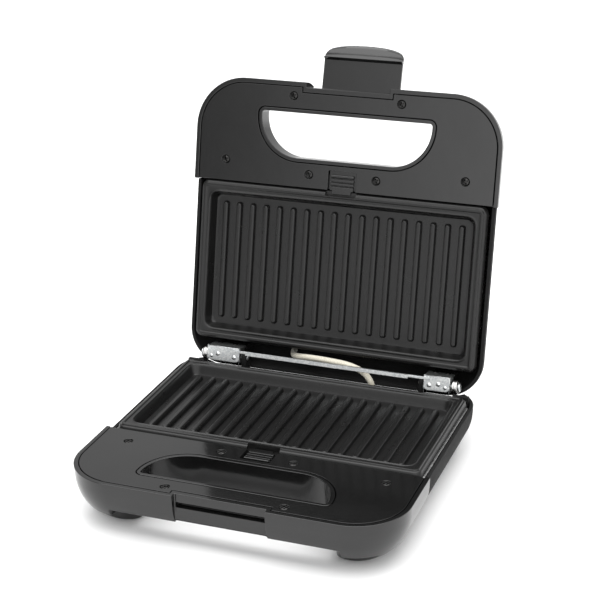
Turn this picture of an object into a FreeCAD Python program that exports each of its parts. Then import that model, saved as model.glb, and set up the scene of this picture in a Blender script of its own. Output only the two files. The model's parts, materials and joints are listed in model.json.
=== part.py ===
"""Contact grill: two hinged, mirrored shells with ribbed plates, a D-shaped handle and one latch clip.

Both halves are drawn alike, in a half-shell frame: X to the right, Y back from the plate's front edge,
Z up from the deck surface, with the cooking side up.  Placements then stand the base on its feet and
turn the lid over and open.  Millimetres throughout.
"""
import math
import os
import re

import FreeCAD
import Part
import Sketcher

VECTOR = FreeCAD.Vector
X_AXIS = VECTOR(1, 0, 0)
Y_AXIS = VECTOR(0, 1, 0)
Z_AXIS = VECTOR(0, 0, 1)

DIMENSIONS = {
    # shells
    "cover_half_width": 114.3,
    "housing_half_width": 112.5,
    "front_edge": 75.5,
    "rear_edge": 138,
    "cover_back": 0.5,
    "housing_front": 0.8,
    "front_corner": 37,
    "rear_corner": 26,
    "front_belly": 30,
    "rear_belly": 28,
    "wall": 2.5,
    "housing_rim": 3,
    "base_depth": 37,
    "belly_depth": 27,
    "lid_depth": 34,
    "rear_cut_front": 121,
    "rear_cut_depth": 8,
    "rear_cut_half_width": 101,
    "clearance": 1,
    # feet and the arch between them
    "foot_inner": 67,
    "foot_front": 57,
    "foot_back": 25,
    "rear_foot_front": 93,
    "rear_foot_back": 125,
    "arch_half_width": 78,
    "arch_back": 56,
    "arch_depth": 20.5,
    "notch_arch_depth": 18.8,
    "pad_radius": 7,
    "pad_height": 2,
    "pad_recess": 1,
    "pad_across": 76,
    "front_pad_back": 35,
    "rear_pad_back": 110,
    # handle opening
    "handle_half_width": 66.5,
    "handle_front": 56.3,
    "handle_back": 18,
    "handle_front_corner": 5,
    "handle_back_corner": 32,
    "handle_wall": 2.6,
    "flare_start": 14,
    "flare_sides": 9,
    "flare_back": 5,
    # latch notch, catch slot and latch
    "notch_half_width": 31,
    "notch_face": 71.8,
    "slot_half_width": 30.3,
    "slot_top": 6,
    "slot_bottom": 9.5,
    "pocket_depth": 12.5,
    "pocket_back": 56.6,
    "latch_half_width": 29.6,
    "latch_pivot_front": 62,
    "latch_pivot_depth": 18,
    "latch_pin_radius": 1.5,
    "latch_knuckle_radius": 3.2,
    "latch_open_angle": 96,
    # deck plate and its screws
    "deck_inset": 3.7,
    "deck_thickness": 2,
    "deck_back": 0.4,
    "deck_notch_front": 67.8,
    "deck_notch_half_width": 33.9,
    "deck_gap": 0.4,
    "side_screw_across": 90,
    "side_screw_front": 15.6,
    "front_screw_across": 40.2,
    "front_screw_front": 65.3,
    "centre_screw_across": 25.3,
    "centre_screw_front": 10,
    "screw_radius": 1.45,
    "screw_head_radius": 2.7,
    "screw_head_height": 1.3,
    "screw_length": 10,
    "boss_radius": 3.6,
    # plate catch
    "window_half_width": 10.5,
    "window_front": 14.5,
    "catch_front": 11.6,
    "catch_half_width": 8.6,
    "catch_base_half_width": 12,
    "catch_nose": 2.4,
    # grill plate
    "plate_half_width": 108,
    "plate_length": 119,
    "plate_corner": 6,
    "plate_rim": 2.2,
    "plate_flange": 3,
    "tub_margin": 4,
    "tub_depth": 8.5,
    "recess_half_width": 100.5,
    "recess_front": 8,
    "recess_back": 111,
    "floor_depth": 5.5,
    "rib_count": 18,
    "rib_span": 179,
    "rib_width": 4.4,
    "rib_height": 3,
    "rib_front": 15.5,
    "rib_back": 103,
    # reflector tray and heating element
    "tray_half_width": 105.6,
    "tray_front": 2.4,
    "tray_back": 116.6,
    "tray_depth": 20,
    "tray_wall": 0.8,
    "tray_corner": 10,
    "element_radius": 3.25,
    "element_depth": 12.2,
    "element_end": 85,
    "element_bend_across": 60,
    "element_front": 35,
    "element_bend_radius": 25,
    # hinge
    "hinge_back": 129.5,
    "hinge_height": 3.2,
    "open_angle": 102,
    "pin_radius": 2,
    "ear_thickness": 3.6,
    "corner_wall_inner": 95.5,
    "corner_wall_front": 120.4,
    "corner_wall_top": 0.6,
    "ear_left": 63.2,
    "ear_right": 69.2,
    "pin_outer": 99.2,
    "pin_head_radius": 3.4,
    "pin_head": 1.2,
    "bracket_left": 67.3,
    "bracket_right": 73.6,
    "bracket_outer": 92.8,
    "bracket_sheet": 1.2,
    "bracket_reach": 7.5,
    "spring_outer": 98,
    "spring_radius": 5.2,
    "bar_left": 73,
    "bar_right": 77.5,
    "bar_middle_half_length": 62.4,
    # wire sleeve
    "sleeve_radius": 2.25,
    # distance from the plate's front edge to the middle of the opened machine
    "frame_shift": 72.03,
}

# rivets of the hinge brackets, along X
BRACKET_RIVETS = {"right": (79, 88), "left": (-76, -88)}

document = FreeCAD.newDocument("contact_grill")
sheet = document.addObject("Spreadsheet::Sheet", "Dimensions")
for row, (alias, value) in enumerate(DIMENSIONS.items(), start=1):
    sheet.set(f"A{row}", alias)
    sheet.set(f"B{row}", str(value))
    sheet.setAlias(f"B{row}", alias)
document.recompute()


def size(alias):
    """Number held by a cell of the sheet."""
    return float(sheet.get(alias))


def bound(formula):
    """Formula on cell names, written for an expression."""
    return re.sub(r"[a-z][a-z_]*[a-z]", lambda word: "Dimensions." + word.group(0), str(formula))


# ---------------------------------------------------------------- building blocks

def block(name, low, high):
    """Box between two corners, each given by three formulas."""
    item = document.addObject("Part::Box", name)
    for edge, axis, start, end in zip(("Length", "Width", "Height"), "xyz", low, high):
        item.setExpression(edge, bound(f"({end}) - ({start})"))
        item.setExpression(f"Placement.Base.{axis}", bound(start))
    return item


AXIS_TURNS = {
    "x": FreeCAD.Rotation(Y_AXIS, 90),
    "y": FreeCAD.Rotation(X_AXIS, -90),
    "z": FreeCAD.Rotation(),
}


def rod(name, start, radius, length, axis="z"):
    """Cylinder from a start point along an axis."""
    item = document.addObject("Part::Cylinder", name)
    item.Placement = FreeCAD.Placement(VECTOR(), AXIS_TURNS[axis])
    item.setExpression("Radius", bound(radius))
    item.setExpression("Height", bound(length))
    for letter, value in zip("xyz", start):
        item.setExpression(f"Placement.Base.{letter}", bound(value))
    return item


def cone(name, start, low_radius, high_radius, height):
    """Upright cone frustum from a start point."""
    item = document.addObject("Part::Cone", name)
    item.setExpression("Radius1", bound(low_radius))
    item.setExpression("Radius2", bound(high_radius))
    item.setExpression("Height", bound(height))
    for letter, value in zip("xyz", start):
        item.setExpression(f"Placement.Base.{letter}", bound(value))
    return item


def fuse(name, pieces):
    if len(pieces) == 1:
        return pieces[0]
    item = document.addObject("Part::MultiFuse", name)
    item.Shapes = pieces
    return item


def common(name, first, second):
    item = document.addObject("Part::Common", name)
    item.Base = first
    item.Tool = second
    return item


def cut(name, base, tools):
    item = document.addObject("Part::Cut", name)
    item.Base = base
    item.Tool = fuse(name + "_tools", tools)
    return item


def group(name, pieces):
    item = document.addObject("Part::Compound", name)
    item.Links = pieces
    return item


def plane_of(body, role):
    return next(feature for feature in body.Origin.OriginFeatures if feature.Role == role)


def sketch_in(body, name, role="XY_Plane", offset="0"):
    """Sketch on an origin plane of its body, moved along the plane's normal."""
    sketch = body.newObject("Sketcher::SketchObject", name)
    sketch.AttachmentSupport = [(plane_of(body, role), "")]
    sketch.MapMode = "FlatFace"
    sketch.setExpression("AttachmentOffset.Base.z", bound(offset))
    return sketch


def datum(sketch, constraint, name, formula):
    """Constraint bound to a formula of the sheet."""
    index = sketch.addConstraint(constraint)
    sketch.renameConstraint(index, name)
    sketch.setExpression(f"Constraints.{name}", bound(formula))


def add_rectangle(sketch, left, right, front, back):
    """Rectangle with its four sides bound to formulas."""
    first = sketch.GeometryCount
    corners = [VECTOR(-1, -1, 0), VECTOR(1, -1, 0), VECTOR(1, 1, 0), VECTOR(-1, 1, 0)]
    for index, corner in enumerate(corners):
        sketch.addGeometry(Part.LineSegment(corner, corners[(index + 1) % 4]))
    for index in range(4):
        following = first + (index + 1) % 4
        sketch.addConstraint(Sketcher.Constraint("Coincident", first + index, 2, following, 1))
    for index in (0, 2):
        sketch.addConstraint(Sketcher.Constraint("Horizontal", first + index))
        sketch.addConstraint(Sketcher.Constraint("Vertical", first + index + 1))
    datum(sketch, Sketcher.Constraint("DistanceX", -1, 1, first, 1, -1), f"left{first}", left)
    datum(sketch, Sketcher.Constraint("DistanceY", -1, 1, first, 1, -1), f"front{first}", front)
    datum(sketch, Sketcher.Constraint("DistanceX", -1, 1, first + 2, 1, 1), f"right{first}", right)
    datum(sketch, Sketcher.Constraint("DistanceY", -1, 1, first + 2, 1, 1), f"back{first}", back)


def pad_down(body, sketch, name, length):
    pad = body.newObject("PartDesign::Pad", name)
    pad.Profile = sketch
    pad.Reversed = True
    pad.setExpression("Length", bound(length))
    return pad


def edges_where(feature, accept):
    edges = feature.Shape.Edges
    return [f"Edge{index}" for index, edge in enumerate(edges, start=1) if accept(edge)]


def is_upright(edge):
    first, last = edge.Vertexes[0].Point, edge.Vertexes[-1].Point
    return abs(first.z - last.z) > 0.5 and (first - last).cross(Z_AXIS).Length < 0.01


def round_edges(body, base, name, accept, radius):
    """Fillet on the edges of a feature that a test accepts."""
    document.recompute()
    fillet = body.newObject("PartDesign::Fillet", name)
    fillet.Base = (base, edges_where(base, accept))
    fillet.setExpression("Radius", bound(radius))
    return fillet


def rounded_block(name, left, right, front, back, top, bottom, corner):
    """Upright block with all four upright edges rounded."""
    body = document.addObject("PartDesign::Body", name)
    sketch = sketch_in(body, name + "_outline", offset=top)
    add_rectangle(sketch, left, right, front, back)
    pad = pad_down(body, sketch, name + "_pad", f"({top}) - ({bottom})")
    round_edges(body, pad, name + "_corners", is_upright, corner)
    return body


def bowl(name, half_width, front, back, top, bottom, corner, belly, rounded_end):
    """Half of a shell's outside: upright corners and belly rounded at one end, open at the other."""
    body = document.addObject("PartDesign::Body", name)
    sketch = sketch_in(body, name + "_outline", offset=top)
    add_rectangle(sketch, f"-({half_width})", half_width, front, back)
    pad = pad_down(body, sketch, name + "_pad", f"({top}) - ({bottom})")
    document.recompute()
    box = pad.Shape.BoundBox
    end = box.YMin if rounded_end == "front" else box.YMax
    other_end = box.YMax if rounded_end == "front" else box.YMin

    def at_end(edge):
        return is_upright(edge) and abs(edge.CenterOfMass.y - end) < 0.01

    def under_belly(edge):
        points = [vertex.Point for vertex in edge.Vertexes]
        low = all(abs(point.z - box.ZMin) < 0.01 for point in points)
        return low and not all(abs(point.y - other_end) < 0.01 for point in points)

    corners = round_edges(body, pad, name + "_corners", at_end, corner)
    round_edges(body, corners, name + "_belly", under_belly, belly)
    return body


def handle_prism(name, margin, top, bottom):
    """D-shaped upright prism of the handle opening: straight towards the front, rounded at the back."""
    body = document.addObject("PartDesign::Body", name)
    sketch = sketch_in(body, name + "_outline", offset=top)
    half_width = f"handle_half_width + ({margin})"
    add_rectangle(sketch, f"-({half_width})", half_width,
                  f"-(handle_front + ({margin}))", f"-(handle_back - ({margin}))")
    pad = pad_down(body, sketch, name + "_pad", f"({top}) - ({bottom})")
    document.recompute()
    box = pad.Shape.BoundBox
    front = round_edges(body, pad, name + "_front_corners",
                        lambda edge: is_upright(edge) and edge.CenterOfMass.y < box.Center.y,
                        f"handle_front_corner + ({margin})")
    round_edges(body, front, name + "_back_corners",
                lambda edge: is_upright(edge) and edge.CenterOfMass.y > box.Center.y,
                f"handle_back_corner + ({margin})")
    return body


def handle_wire(margin, sides, back, level):
    """Outline of the handle opening at one level, let out by some more at its sides and its back."""
    right = size("handle_half_width") + margin + sides
    near = -(size("handle_front") + margin)
    far = -(size("handle_back") - margin - back)
    small = size("handle_front_corner") + margin
    large = size("handle_back_corner") + margin + back
    slant = math.sqrt(0.5)
    edges = []
    corners = [
        (right, near, 1, -1, small),
        (right, far, 1, 1, large),
        (-right, far, -1, 1, large),
        (-right, near, -1, -1, small),
    ]
    ends = []
    for x, y, to_right, to_back, radius in corners:
        centre = VECTOR(x - to_right * radius, y - to_back * radius, level)
        side = centre + VECTOR(to_right * radius, 0, 0)
        end = centre + VECTOR(0, to_back * radius, 0)
        middle = centre + VECTOR(to_right * radius * slant, to_back * radius * slant, 0)
        first, last = (end, side) if to_right * to_back < 0 else (side, end)
        ends.append((first, middle, last))
    for index, (first, middle, last) in enumerate(ends):
        edges.append(Part.Arc(first, middle, last).toShape())
        edges.append(Part.LineSegment(last, ends[(index + 1) % 4][0]).toShape())
    return Part.Wire(edges)


def handle_flare(name, margin):
    """Widening of the handle opening towards the outside, for the fingers."""
    top, bottom = -size("flare_start"), -(size("lid_depth") + 2)
    item = document.addObject("Part::Feature", name)
    narrow = handle_wire(margin, 0, 0, top)
    wide = handle_wire(margin, size("flare_sides"), size("flare_back"), bottom)
    item.Shape = Part.makeLoft([narrow, wide], True, True)
    return item


def both_sides(across):
    """The same distance to the right and to the left of the middle."""
    return (("right", across), ("left", f"-({across})"))


DECK_SCREWS = [
    (across, f"-({front})")
    for distance, front in (("side_screw_across", "side_screw_front"),
                            ("front_screw_across", "front_screw_front"),
                            ("centre_screw_across", "centre_screw_front"))
    for _, across in both_sides(distance)
]


def span(half_width):
    return f"-({half_width})", half_width


# ---------------------------------------------------------------- shells

def underside(name, ends, inset):
    """What is taken off the base's belly: all of it below the belly plane except the feet."""
    low = block(name + "_below", ("-150", "-150", "-60"), ("150", "200", f"-(belly_depth - ({inset}))"))
    feet = []
    for end, (front, back) in ends.items():
        for side, sign in (("right", 1), ("left", -1)):
            inner, outer = f"foot_inner + ({inset})", "cover_half_width + clearance"
            across = (inner, outer) if sign > 0 else (f"-({outer})", f"-({inner})")
            feet.append(block(f"{name}_{end}_{side}",
                              (across[0], f"{front} + ({inset})", "-70"),
                              (across[1], f"{back} - ({inset})", "0")))
    return cut(name, low, feet)


def bowl_pair(name, end, depth, raised):
    """Outside and inside of one end of a shell, before anything is added or cut."""
    if end == "front":
        half_width, front, back = "cover_half_width", "-front_edge", "cover_back"
        corner, belly, top = "front_corner", "front_belly", "0"
    else:
        half_width, front, back = "housing_half_width", "housing_front", "rear_edge"
        corner, belly, top = "rear_corner", "rear_belly", "-housing_rim"
    outside = bowl(name + "_outside", half_width, front, back, top, f"-({depth})", corner, belly, end)
    inner_front = f"{front} + wall" if end == "front" else f"{front} - clearance"
    inner_back = f"{back} + clearance" if end == "front" else f"{back} - wall"
    inside = bowl(name + "_inside", f"{half_width} - wall", inner_front, inner_back, "clearance",
                  f"-({depth} - wall)", f"{corner} - wall", f"{belly} - wall", end)
    if not raised:
        return outside, inside
    feet = {"front": ("-foot_front", "-foot_back")} if end == "front" else {
        "rear": ("rear_foot_front", "rear_foot_back")}
    outside_cuts = [underside(name + "_underside", feet, "0")]
    inside_cuts = [underside(name + "_inner_underside", feet, "wall")]
    if end == "front":
        outside_cuts.append(block(name + "_arch",
                                  ("-arch_half_width", "-(front_edge + clearance)", "-60"),
                                  ("arch_half_width", "-arch_back", "-arch_depth")))
        inside_cuts.append(block(name + "_inner_arch",
                                 ("-(arch_half_width + wall)", "-(front_edge + clearance)", "-60"),
                                 ("arch_half_width + wall", "-(arch_back - wall)", "-(arch_depth - wall)")))
    return (cut(name + "_trimmed_outside", outside, outside_cuts),
            cut(name + "_trimmed_inside", inside, inside_cuts))


def screw_bosses(name):
    return [rod(f"{name}_boss{index}", (across, front, "-60"), "boss_radius", "60 - deck_thickness")
            for index, (across, front) in enumerate(DECK_SCREWS)]


def screw_pilots(name):
    return [rod(f"{name}_pilot{index}", (across, front, "-(screw_length + clearance)"),
                "screw_radius", "screw_length + 2 * clearance")
            for index, (across, front) in enumerate(DECK_SCREWS)]


def tongues(name, floor):
    """Two tongues of the front cover that lie on the housing's floor and take its screws."""
    pieces = []
    pilots = []
    for side, across in both_sides("60"):
        pieces.append(block(f"{name}_tongue_{side}", (f"{across} - 8", "-4", f"-({floor}) + 0.1"),
                            (f"{across} + 8", "14", f"-({floor}) + 4.1")))
        pieces.append(block(f"{name}_tongue_root_{side}", (f"{across} - 8", "-9", f"-({floor}) - 0.6"),
                            (f"{across} + 8", "0.3", f"-({floor}) + 4.1")))
        pilots.append(rod(f"{name}_tongue_pilot_{side}", (across, "8", f"-({floor}) - 1"),
                          "screw_radius", "8"))
    return pieces, pilots


def front_cover(name, depth, floor, is_base):
    """Glossy cover of the handle: bowl, handle tunnel, screw bosses, latch notch and plate catch shelf."""
    outside, inside = bowl_pair(name, "front", depth, is_base)
    shell = cut(name + "_shell", outside, [inside])
    notch_wall = block(name + "_notch_wall",
                       ("-(notch_half_width + wall)", "-(notch_face + 2)", "-60"),
                       ("notch_half_width + wall", "-(notch_face - wall)", "0"))
    tunnel = handle_prism(name + "_tunnel", "-deck_gap", "0", "-60")
    shelf = block(name + "_catch_shelf", ("-24", "-(handle_back + 0.6)", "-8.6"), ("24", "-0.2", "-6.7"))
    fittings = [notch_wall, tunnel, shelf] + screw_bosses(name)
    if not is_base:
        fittings.append(handle_flare(name + "_flare", -size("deck_gap")))
        fittings.append(block(name + "_pocket_walls",
                              ("-(notch_half_width + wall)", "-(front_edge - 1)", "-60"),
                              ("notch_half_width + wall", "-handle_front", "-(pocket_depth - 2)")))
    inner = common(name + "_fittings", fuse(name + "_all_fittings", fittings), outside)
    feet, feet_pilots = tongues(name, floor)
    openings = [
        handle_prism(name + "_opening", "-(handle_wall + deck_gap)", "clearance", "-61"),
        block(name + "_notch",
              ("-notch_half_width", "-(front_edge + clearance)", "-60"),
              ("notch_half_width", "-notch_face", "clearance")),
    ]
    if is_base:
        openings.append(block(name + "_catch_slot",
                              ("-slot_half_width", "-(notch_face + clearance)", "-slot_bottom"),
                              ("slot_half_width", "-(notch_face - wall - clearance)", "-slot_top")))
        openings.append(block(name + "_notch_arch",
                              ("-notch_half_width", "-(front_edge + clearance)", "-60"),
                              ("notch_half_width", "-(notch_face - wall)", "-notch_arch_depth")))
    else:
        openings.append(handle_flare(name + "_flare_opening", -(size("handle_wall") + size("deck_gap"))))
        openings.append(block(name + "_latch_pocket",
                              ("-notch_half_width", "-(front_edge + clearance)", "-60"),
                              ("notch_half_width", "-pocket_back", "-pocket_depth")))
        openings.append(rod(name + "_pin_bore",
                            ("-(notch_half_width + 2)", "-latch_pivot_front", "-latch_pivot_depth"),
                            "latch_pin_radius + 0.02", "2 * (notch_half_width + 2)", "x"))
    return cut(name, fuse(name + "_solid", [shell, inner] + feet),
               openings + screw_pilots(name) + feet_pilots)


def screw_wells(name, floor, depth):
    """Counterbored holes in the housing's floor, under the cover's tongues."""
    tools = []
    for side, across in both_sides("60"):
        tools.append(rod(f"{name}_hole_{side}", (across, "8", f"-({depth}) - 1"), "screw_radius + 0.15", "6"))
        tools.append(rod(f"{name}_well_{side}", (across, "8", f"-({depth}) - 1"), "3.2", "2.3"))
    return tools


def base_rear_housing():
    """Matte lower housing under the grill plate, with rear feet, ears for the pins and two corner walls."""
    name = "base_rear_housing"
    outside, inside = bowl_pair(name, "rear", "base_depth", True)
    shell = cut(name + "_shell", outside, [inside])
    posts = [rod(f"{name}_tray_post_{end}_{side}", (across, back, "-26"), "4", "26 - tray_depth")
             for end, back in (("front", "30"), ("back", "95")) for side, across in both_sides("80")]
    ears = []
    for side, start in (("right", "ear_right"), ("left", "-(ear_left + ear_thickness)")):
        ears.append(block(f"{name}_ear_{side}", (start, "hinge_back - 4", "-26"),
                          (start + " + ear_thickness", "hinge_back + 2.5", "hinge_height")))
        ears.append(rod(f"{name}_ear_top_{side}", (start, "hinge_back", "hinge_height"),
                        "4", "ear_thickness", "x"))
    for side, start in (("right", "corner_wall_inner"), ("left", "-(corner_wall_inner + 11.9)")):
        ears.append(block(f"{name}_corner_wall_{side}", (start, "corner_wall_front", "-20"),
                          (start + " + 11.9", "corner_wall_front + 3", "corner_wall_top")))
    cuts = [
        block(name + "_rear_cut", ("-rear_cut_half_width", "rear_cut_front", "-rear_cut_depth"),
              ("rear_cut_half_width", "200", "20")),
        rod(name + "_gland_hole", ("-55", "125", "-16.5"), "5.1", "20", "y"),
    ]
    for side, across in both_sides("pad_across"):
        cuts.append(rod(f"{name}_pad_seat_{side}", (across, "rear_pad_back", "-(base_depth + 1)"),
                        "pad_radius + 0.2", "1 + pad_recess"))
    body = cut(name + "_cut", fuse(name + "_posts", [shell] + posts),
               cuts + screw_wells(name, "24.5", "belly_depth"))
    bores = [rod(f"{name}_pin_bore_{side}", (start, "hinge_back", "hinge_height"),
                 "pin_radius + 0.03", "45", "x")
             for side, start in (("right", "ear_right - 1"), ("left", "-(ear_left + 44)"))]
    return cut(name, fuse(name + "_with_ears", [body] + ears), bores)


def base_front_cover():
    name = "base_front_cover"
    cover = front_cover(name + "_plain", "base_depth", "belly_depth - wall", True)
    seats = [rod(f"{name}_pad_seat_{side}", (across, "-front_pad_back", "-(base_depth + 1)"),
                 "pad_radius + 0.2", "1 + pad_recess") for side, across in both_sides("pad_across")]
    return cut(name, cover, seats)


def lid_rear_housing():
    """Matte upper housing, with bosses for the hinge brackets and holes for the lamp lenses."""
    name = "lid_rear_housing"
    outside, inside = bowl_pair(name, "rear", "lid_depth", False)
    shell = cut(name + "_shell", outside, [inside])
    posts = [rod(f"{name}_tray_post_{end}_{side}", (across, back, "-33"), "4", "33 - tray_depth")
             for end, back in (("front", "30"), ("back", "95")) for side, across in both_sides("80")]
    cuts = []
    for side, across in both_sides("13"):
        cuts.append(rod(f"{name}_lens_hole_{side}", (across, "15", "-40"), "4.1", "12"))
    body = cut(name + "_cut", fuse(name + "_posts", [shell] + posts),
               cuts + screw_wells(name, "31.5", "lid_depth"))
    bosses = []
    bores = []
    front = "hinge_back - bracket_reach + bracket_sheet"
    # the lid is turned over about Y, so its bosses lie opposite to the brackets' own sides
    for side, across in (("right", ("-91", "-75.6")), ("left", ("70", "91"))):
        bosses.append(block(f"{name}_bracket_boss_{side}", (across[0], front, "-26.5"),
                            (across[1], front + " + 4", "-1")))
        for place, offset in zip(("inner", "outer"), BRACKET_RIVETS[side]):
            bores.append(rod(f"{name}_rivet_bore_{side}_{place}",
                             (str(-offset), front + " - 1", "-2.8"), "1.3", "4.5", "y"))
    return cut(name, fuse(name + "_with_bosses", [body] + bosses), bores)


# ---------------------------------------------------------------- deck plate and screws

def deck(name):
    """Smooth plate around the handle opening, inside the cover's rim."""
    body = document.addObject("PartDesign::Body", name + "_sheet")
    sketch = sketch_in(body, name + "_outline")
    half_width = "cover_half_width - deck_inset"
    add_rectangle(sketch, f"-({half_width})", half_width, "-(front_edge - deck_inset)", "-deck_back")
    pad = pad_down(body, sketch, name + "_pad", "deck_thickness")
    round_edges(body, pad, name + "_corners",
                lambda edge: is_upright(edge) and edge.CenterOfMass.y < -size("handle_back"),
                "front_corner - deck_inset")
    tools = [
        handle_prism(name + "_opening", "deck_gap", "clearance", "-5"),
        block(name + "_notch", ("-deck_notch_half_width", "-(front_edge + 1)", "-5"),
              ("deck_notch_half_width", "-deck_notch_front", "1")),
        block(name + "_window", ("-window_half_width", "-window_front", "-5"),
              ("window_half_width", "1", "1")),
    ]
    for index, (across, front) in enumerate(DECK_SCREWS):
        tools.append(rod(f"{name}_hole{index}", (across, front, "-5"), "screw_radius + 0.15", "6"))
        tools.append(cone(f"{name}_sink{index}", (across, front, "-(screw_head_height + 0.15)"),
                          "screw_radius + 0.15", "screw_head_radius + 0.15", "screw_head_height + 0.15"))
    return cut(name, body, tools)


def deck_screws(name):
    screws = []
    for index, (across, front) in enumerate(DECK_SCREWS):
        shank = rod(f"{name}_shank{index}", (across, front, "-screw_length"), "screw_radius - 0.05",
                    "screw_length - screw_head_height")
        head = cone(f"{name}_head{index}", (across, front, "-(screw_head_height + 0.15)"),
                    "screw_radius - 0.05", "screw_head_radius", "screw_head_height")
        screws.append(fuse(f"{name}_screw{index}", [shank, head]))
    return group(name, screws)


def housing_screws(name, depth):
    screws = []
    for side, across in both_sides("60"):
        shank = rod(f"{name}_shank_{side}", (across, "8", f"-({depth}) + 1.2"), "screw_radius - 0.05", "5")
        head = rod(f"{name}_head_{side}", (across, "8", f"-({depth}) + 0.1"), "2.9", "1.2")
        screws.append(fuse(f"{name}_screw_{side}", [shank, head]))
    return group(name, screws)


def plate_catch(name):
    """Sliding catch in the deck's window: its nose holds the front rim of the grill plate down."""
    thumb = block(name + "_thumb", ("-catch_half_width", "-catch_front", "-2.6"),
                  ("catch_half_width", "-0.8", "-0.4"))
    slide = block(name + "_slide", ("-catch_base_half_width", "-catch_front", "-6.5"),
                  ("catch_base_half_width", "-0.8", "-2.2"))
    nose = block(name + "_nose", ("-7", "-1.5", "-1.9"), ("7", "catch_nose", "-0.4"))
    nose_relief = block(name + "_nose_relief", ("-9", "-0.4", "-3"), ("9", "5", "-1.4"))
    bore = rod(name + "_spring_bore", ("0", "-(catch_front + 1)", "-4.4"), "1.75", "6", "y")
    return cut(name, fuse(name + "_solid", [thumb, slide, nose]), [nose_relief, bore])


def catch_spring(name):
    """Return spring of the catch: it stands on the handle tunnel and reaches into the slide's bore."""
    start = ("0", "-(handle_back + deck_gap)", "-4.4")
    length = "handle_back + deck_gap - catch_front + 2.2"
    outer = rod(name + "_outer", start, "1.5", length, "y")
    inner = rod(name + "_inner", start, "1", length, "y")
    return cut(name, outer, [inner])


# ---------------------------------------------------------------- plate, tray, element

def grill_plate(name):
    """Cast plate: flange, tub, recessed floor and a row of ribs."""
    body = document.addObject("PartDesign::Body", name)
    outline = sketch_in(body, name + "_outline", offset="plate_rim")
    add_rectangle(outline, "-plate_half_width", "plate_half_width", "0", "plate_length")
    flange = pad_down(body, outline, name + "_flange", "plate_rim + plate_flange")
    round_edges(body, flange, name + "_flange_corners", is_upright, "plate_corner")
    tub_outline = sketch_in(body, name + "_tub_outline", offset="-plate_flange")
    add_rectangle(tub_outline, "-(plate_half_width - tub_margin)", "plate_half_width - tub_margin",
                  "tub_margin", "plate_length - tub_margin")
    tub = pad_down(body, tub_outline, name + "_tub", "tub_depth - plate_flange")
    round_edges(body, tub, name + "_tub_corners",
                lambda edge: is_upright(edge) and edge.CenterOfMass.z < -size("plate_flange"),
                "tray_corner - 1.6")
    recess_outline = sketch_in(body, name + "_recess_outline", offset="plate_rim")
    add_rectangle(recess_outline, "-recess_half_width", "recess_half_width", "recess_front", "recess_back")
    recess = body.newObject("PartDesign::Pocket", name + "_recess")
    recess.Profile = recess_outline
    recess.setExpression("Length", bound("plate_rim + floor_depth"))
    step_outline = sketch_in(body, name + "_catch_step_outline", offset="plate_rim")
    add_rectangle(step_outline, "-(window_half_width + 1)", "window_half_width + 1", "-1", "catch_nose + 1.2")
    step = body.newObject("PartDesign::Pocket", name + "_catch_step")
    step.Profile = step_outline
    step.setExpression("Length", bound("plate_rim + 1.6"))
    rib_outline = sketch_in(body, name + "_rib_outline", offset="-floor_depth + rib_height")
    add_rectangle(rib_outline, "-(rib_span / 2 + rib_width / 2)", "-(rib_span / 2 - rib_width / 2)",
                  "rib_front", "rib_back")
    rib = pad_down(body, rib_outline, name + "_rib", "rib_height")
    pattern = body.newObject("PartDesign::LinearPattern", name + "_ribs")
    pattern.Originals = [rib]
    pattern.Direction = (rib_outline, ["H_Axis"])
    pattern.setExpression("Length", bound("rib_span"))
    pattern.setExpression("Occurrences", bound("rib_count"))
    body.Tip = pattern
    return body


def reflector(name):
    """Bright sheet tray that hangs under the plate's flange and holds the heating element."""
    outer = rounded_block(name + "_outer", "-tray_half_width", "tray_half_width", "tray_front", "tray_back",
                          "-(plate_flange + 0.05)", "-tray_depth", "tray_corner")
    inner = rounded_block(name + "_inner", "-(tray_half_width - tray_wall)", "tray_half_width - tray_wall",
                          "tray_front + tray_wall", "tray_back - tray_wall", "0",
                          "-(tray_depth - tray_wall)", "tray_corner - tray_wall")
    wire_hole = rod(name + "_wire_hole", ("-70", "10", "-(tray_depth + 2)"), "4", "5")
    return cut(name, outer, [inner, wire_hole])


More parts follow.
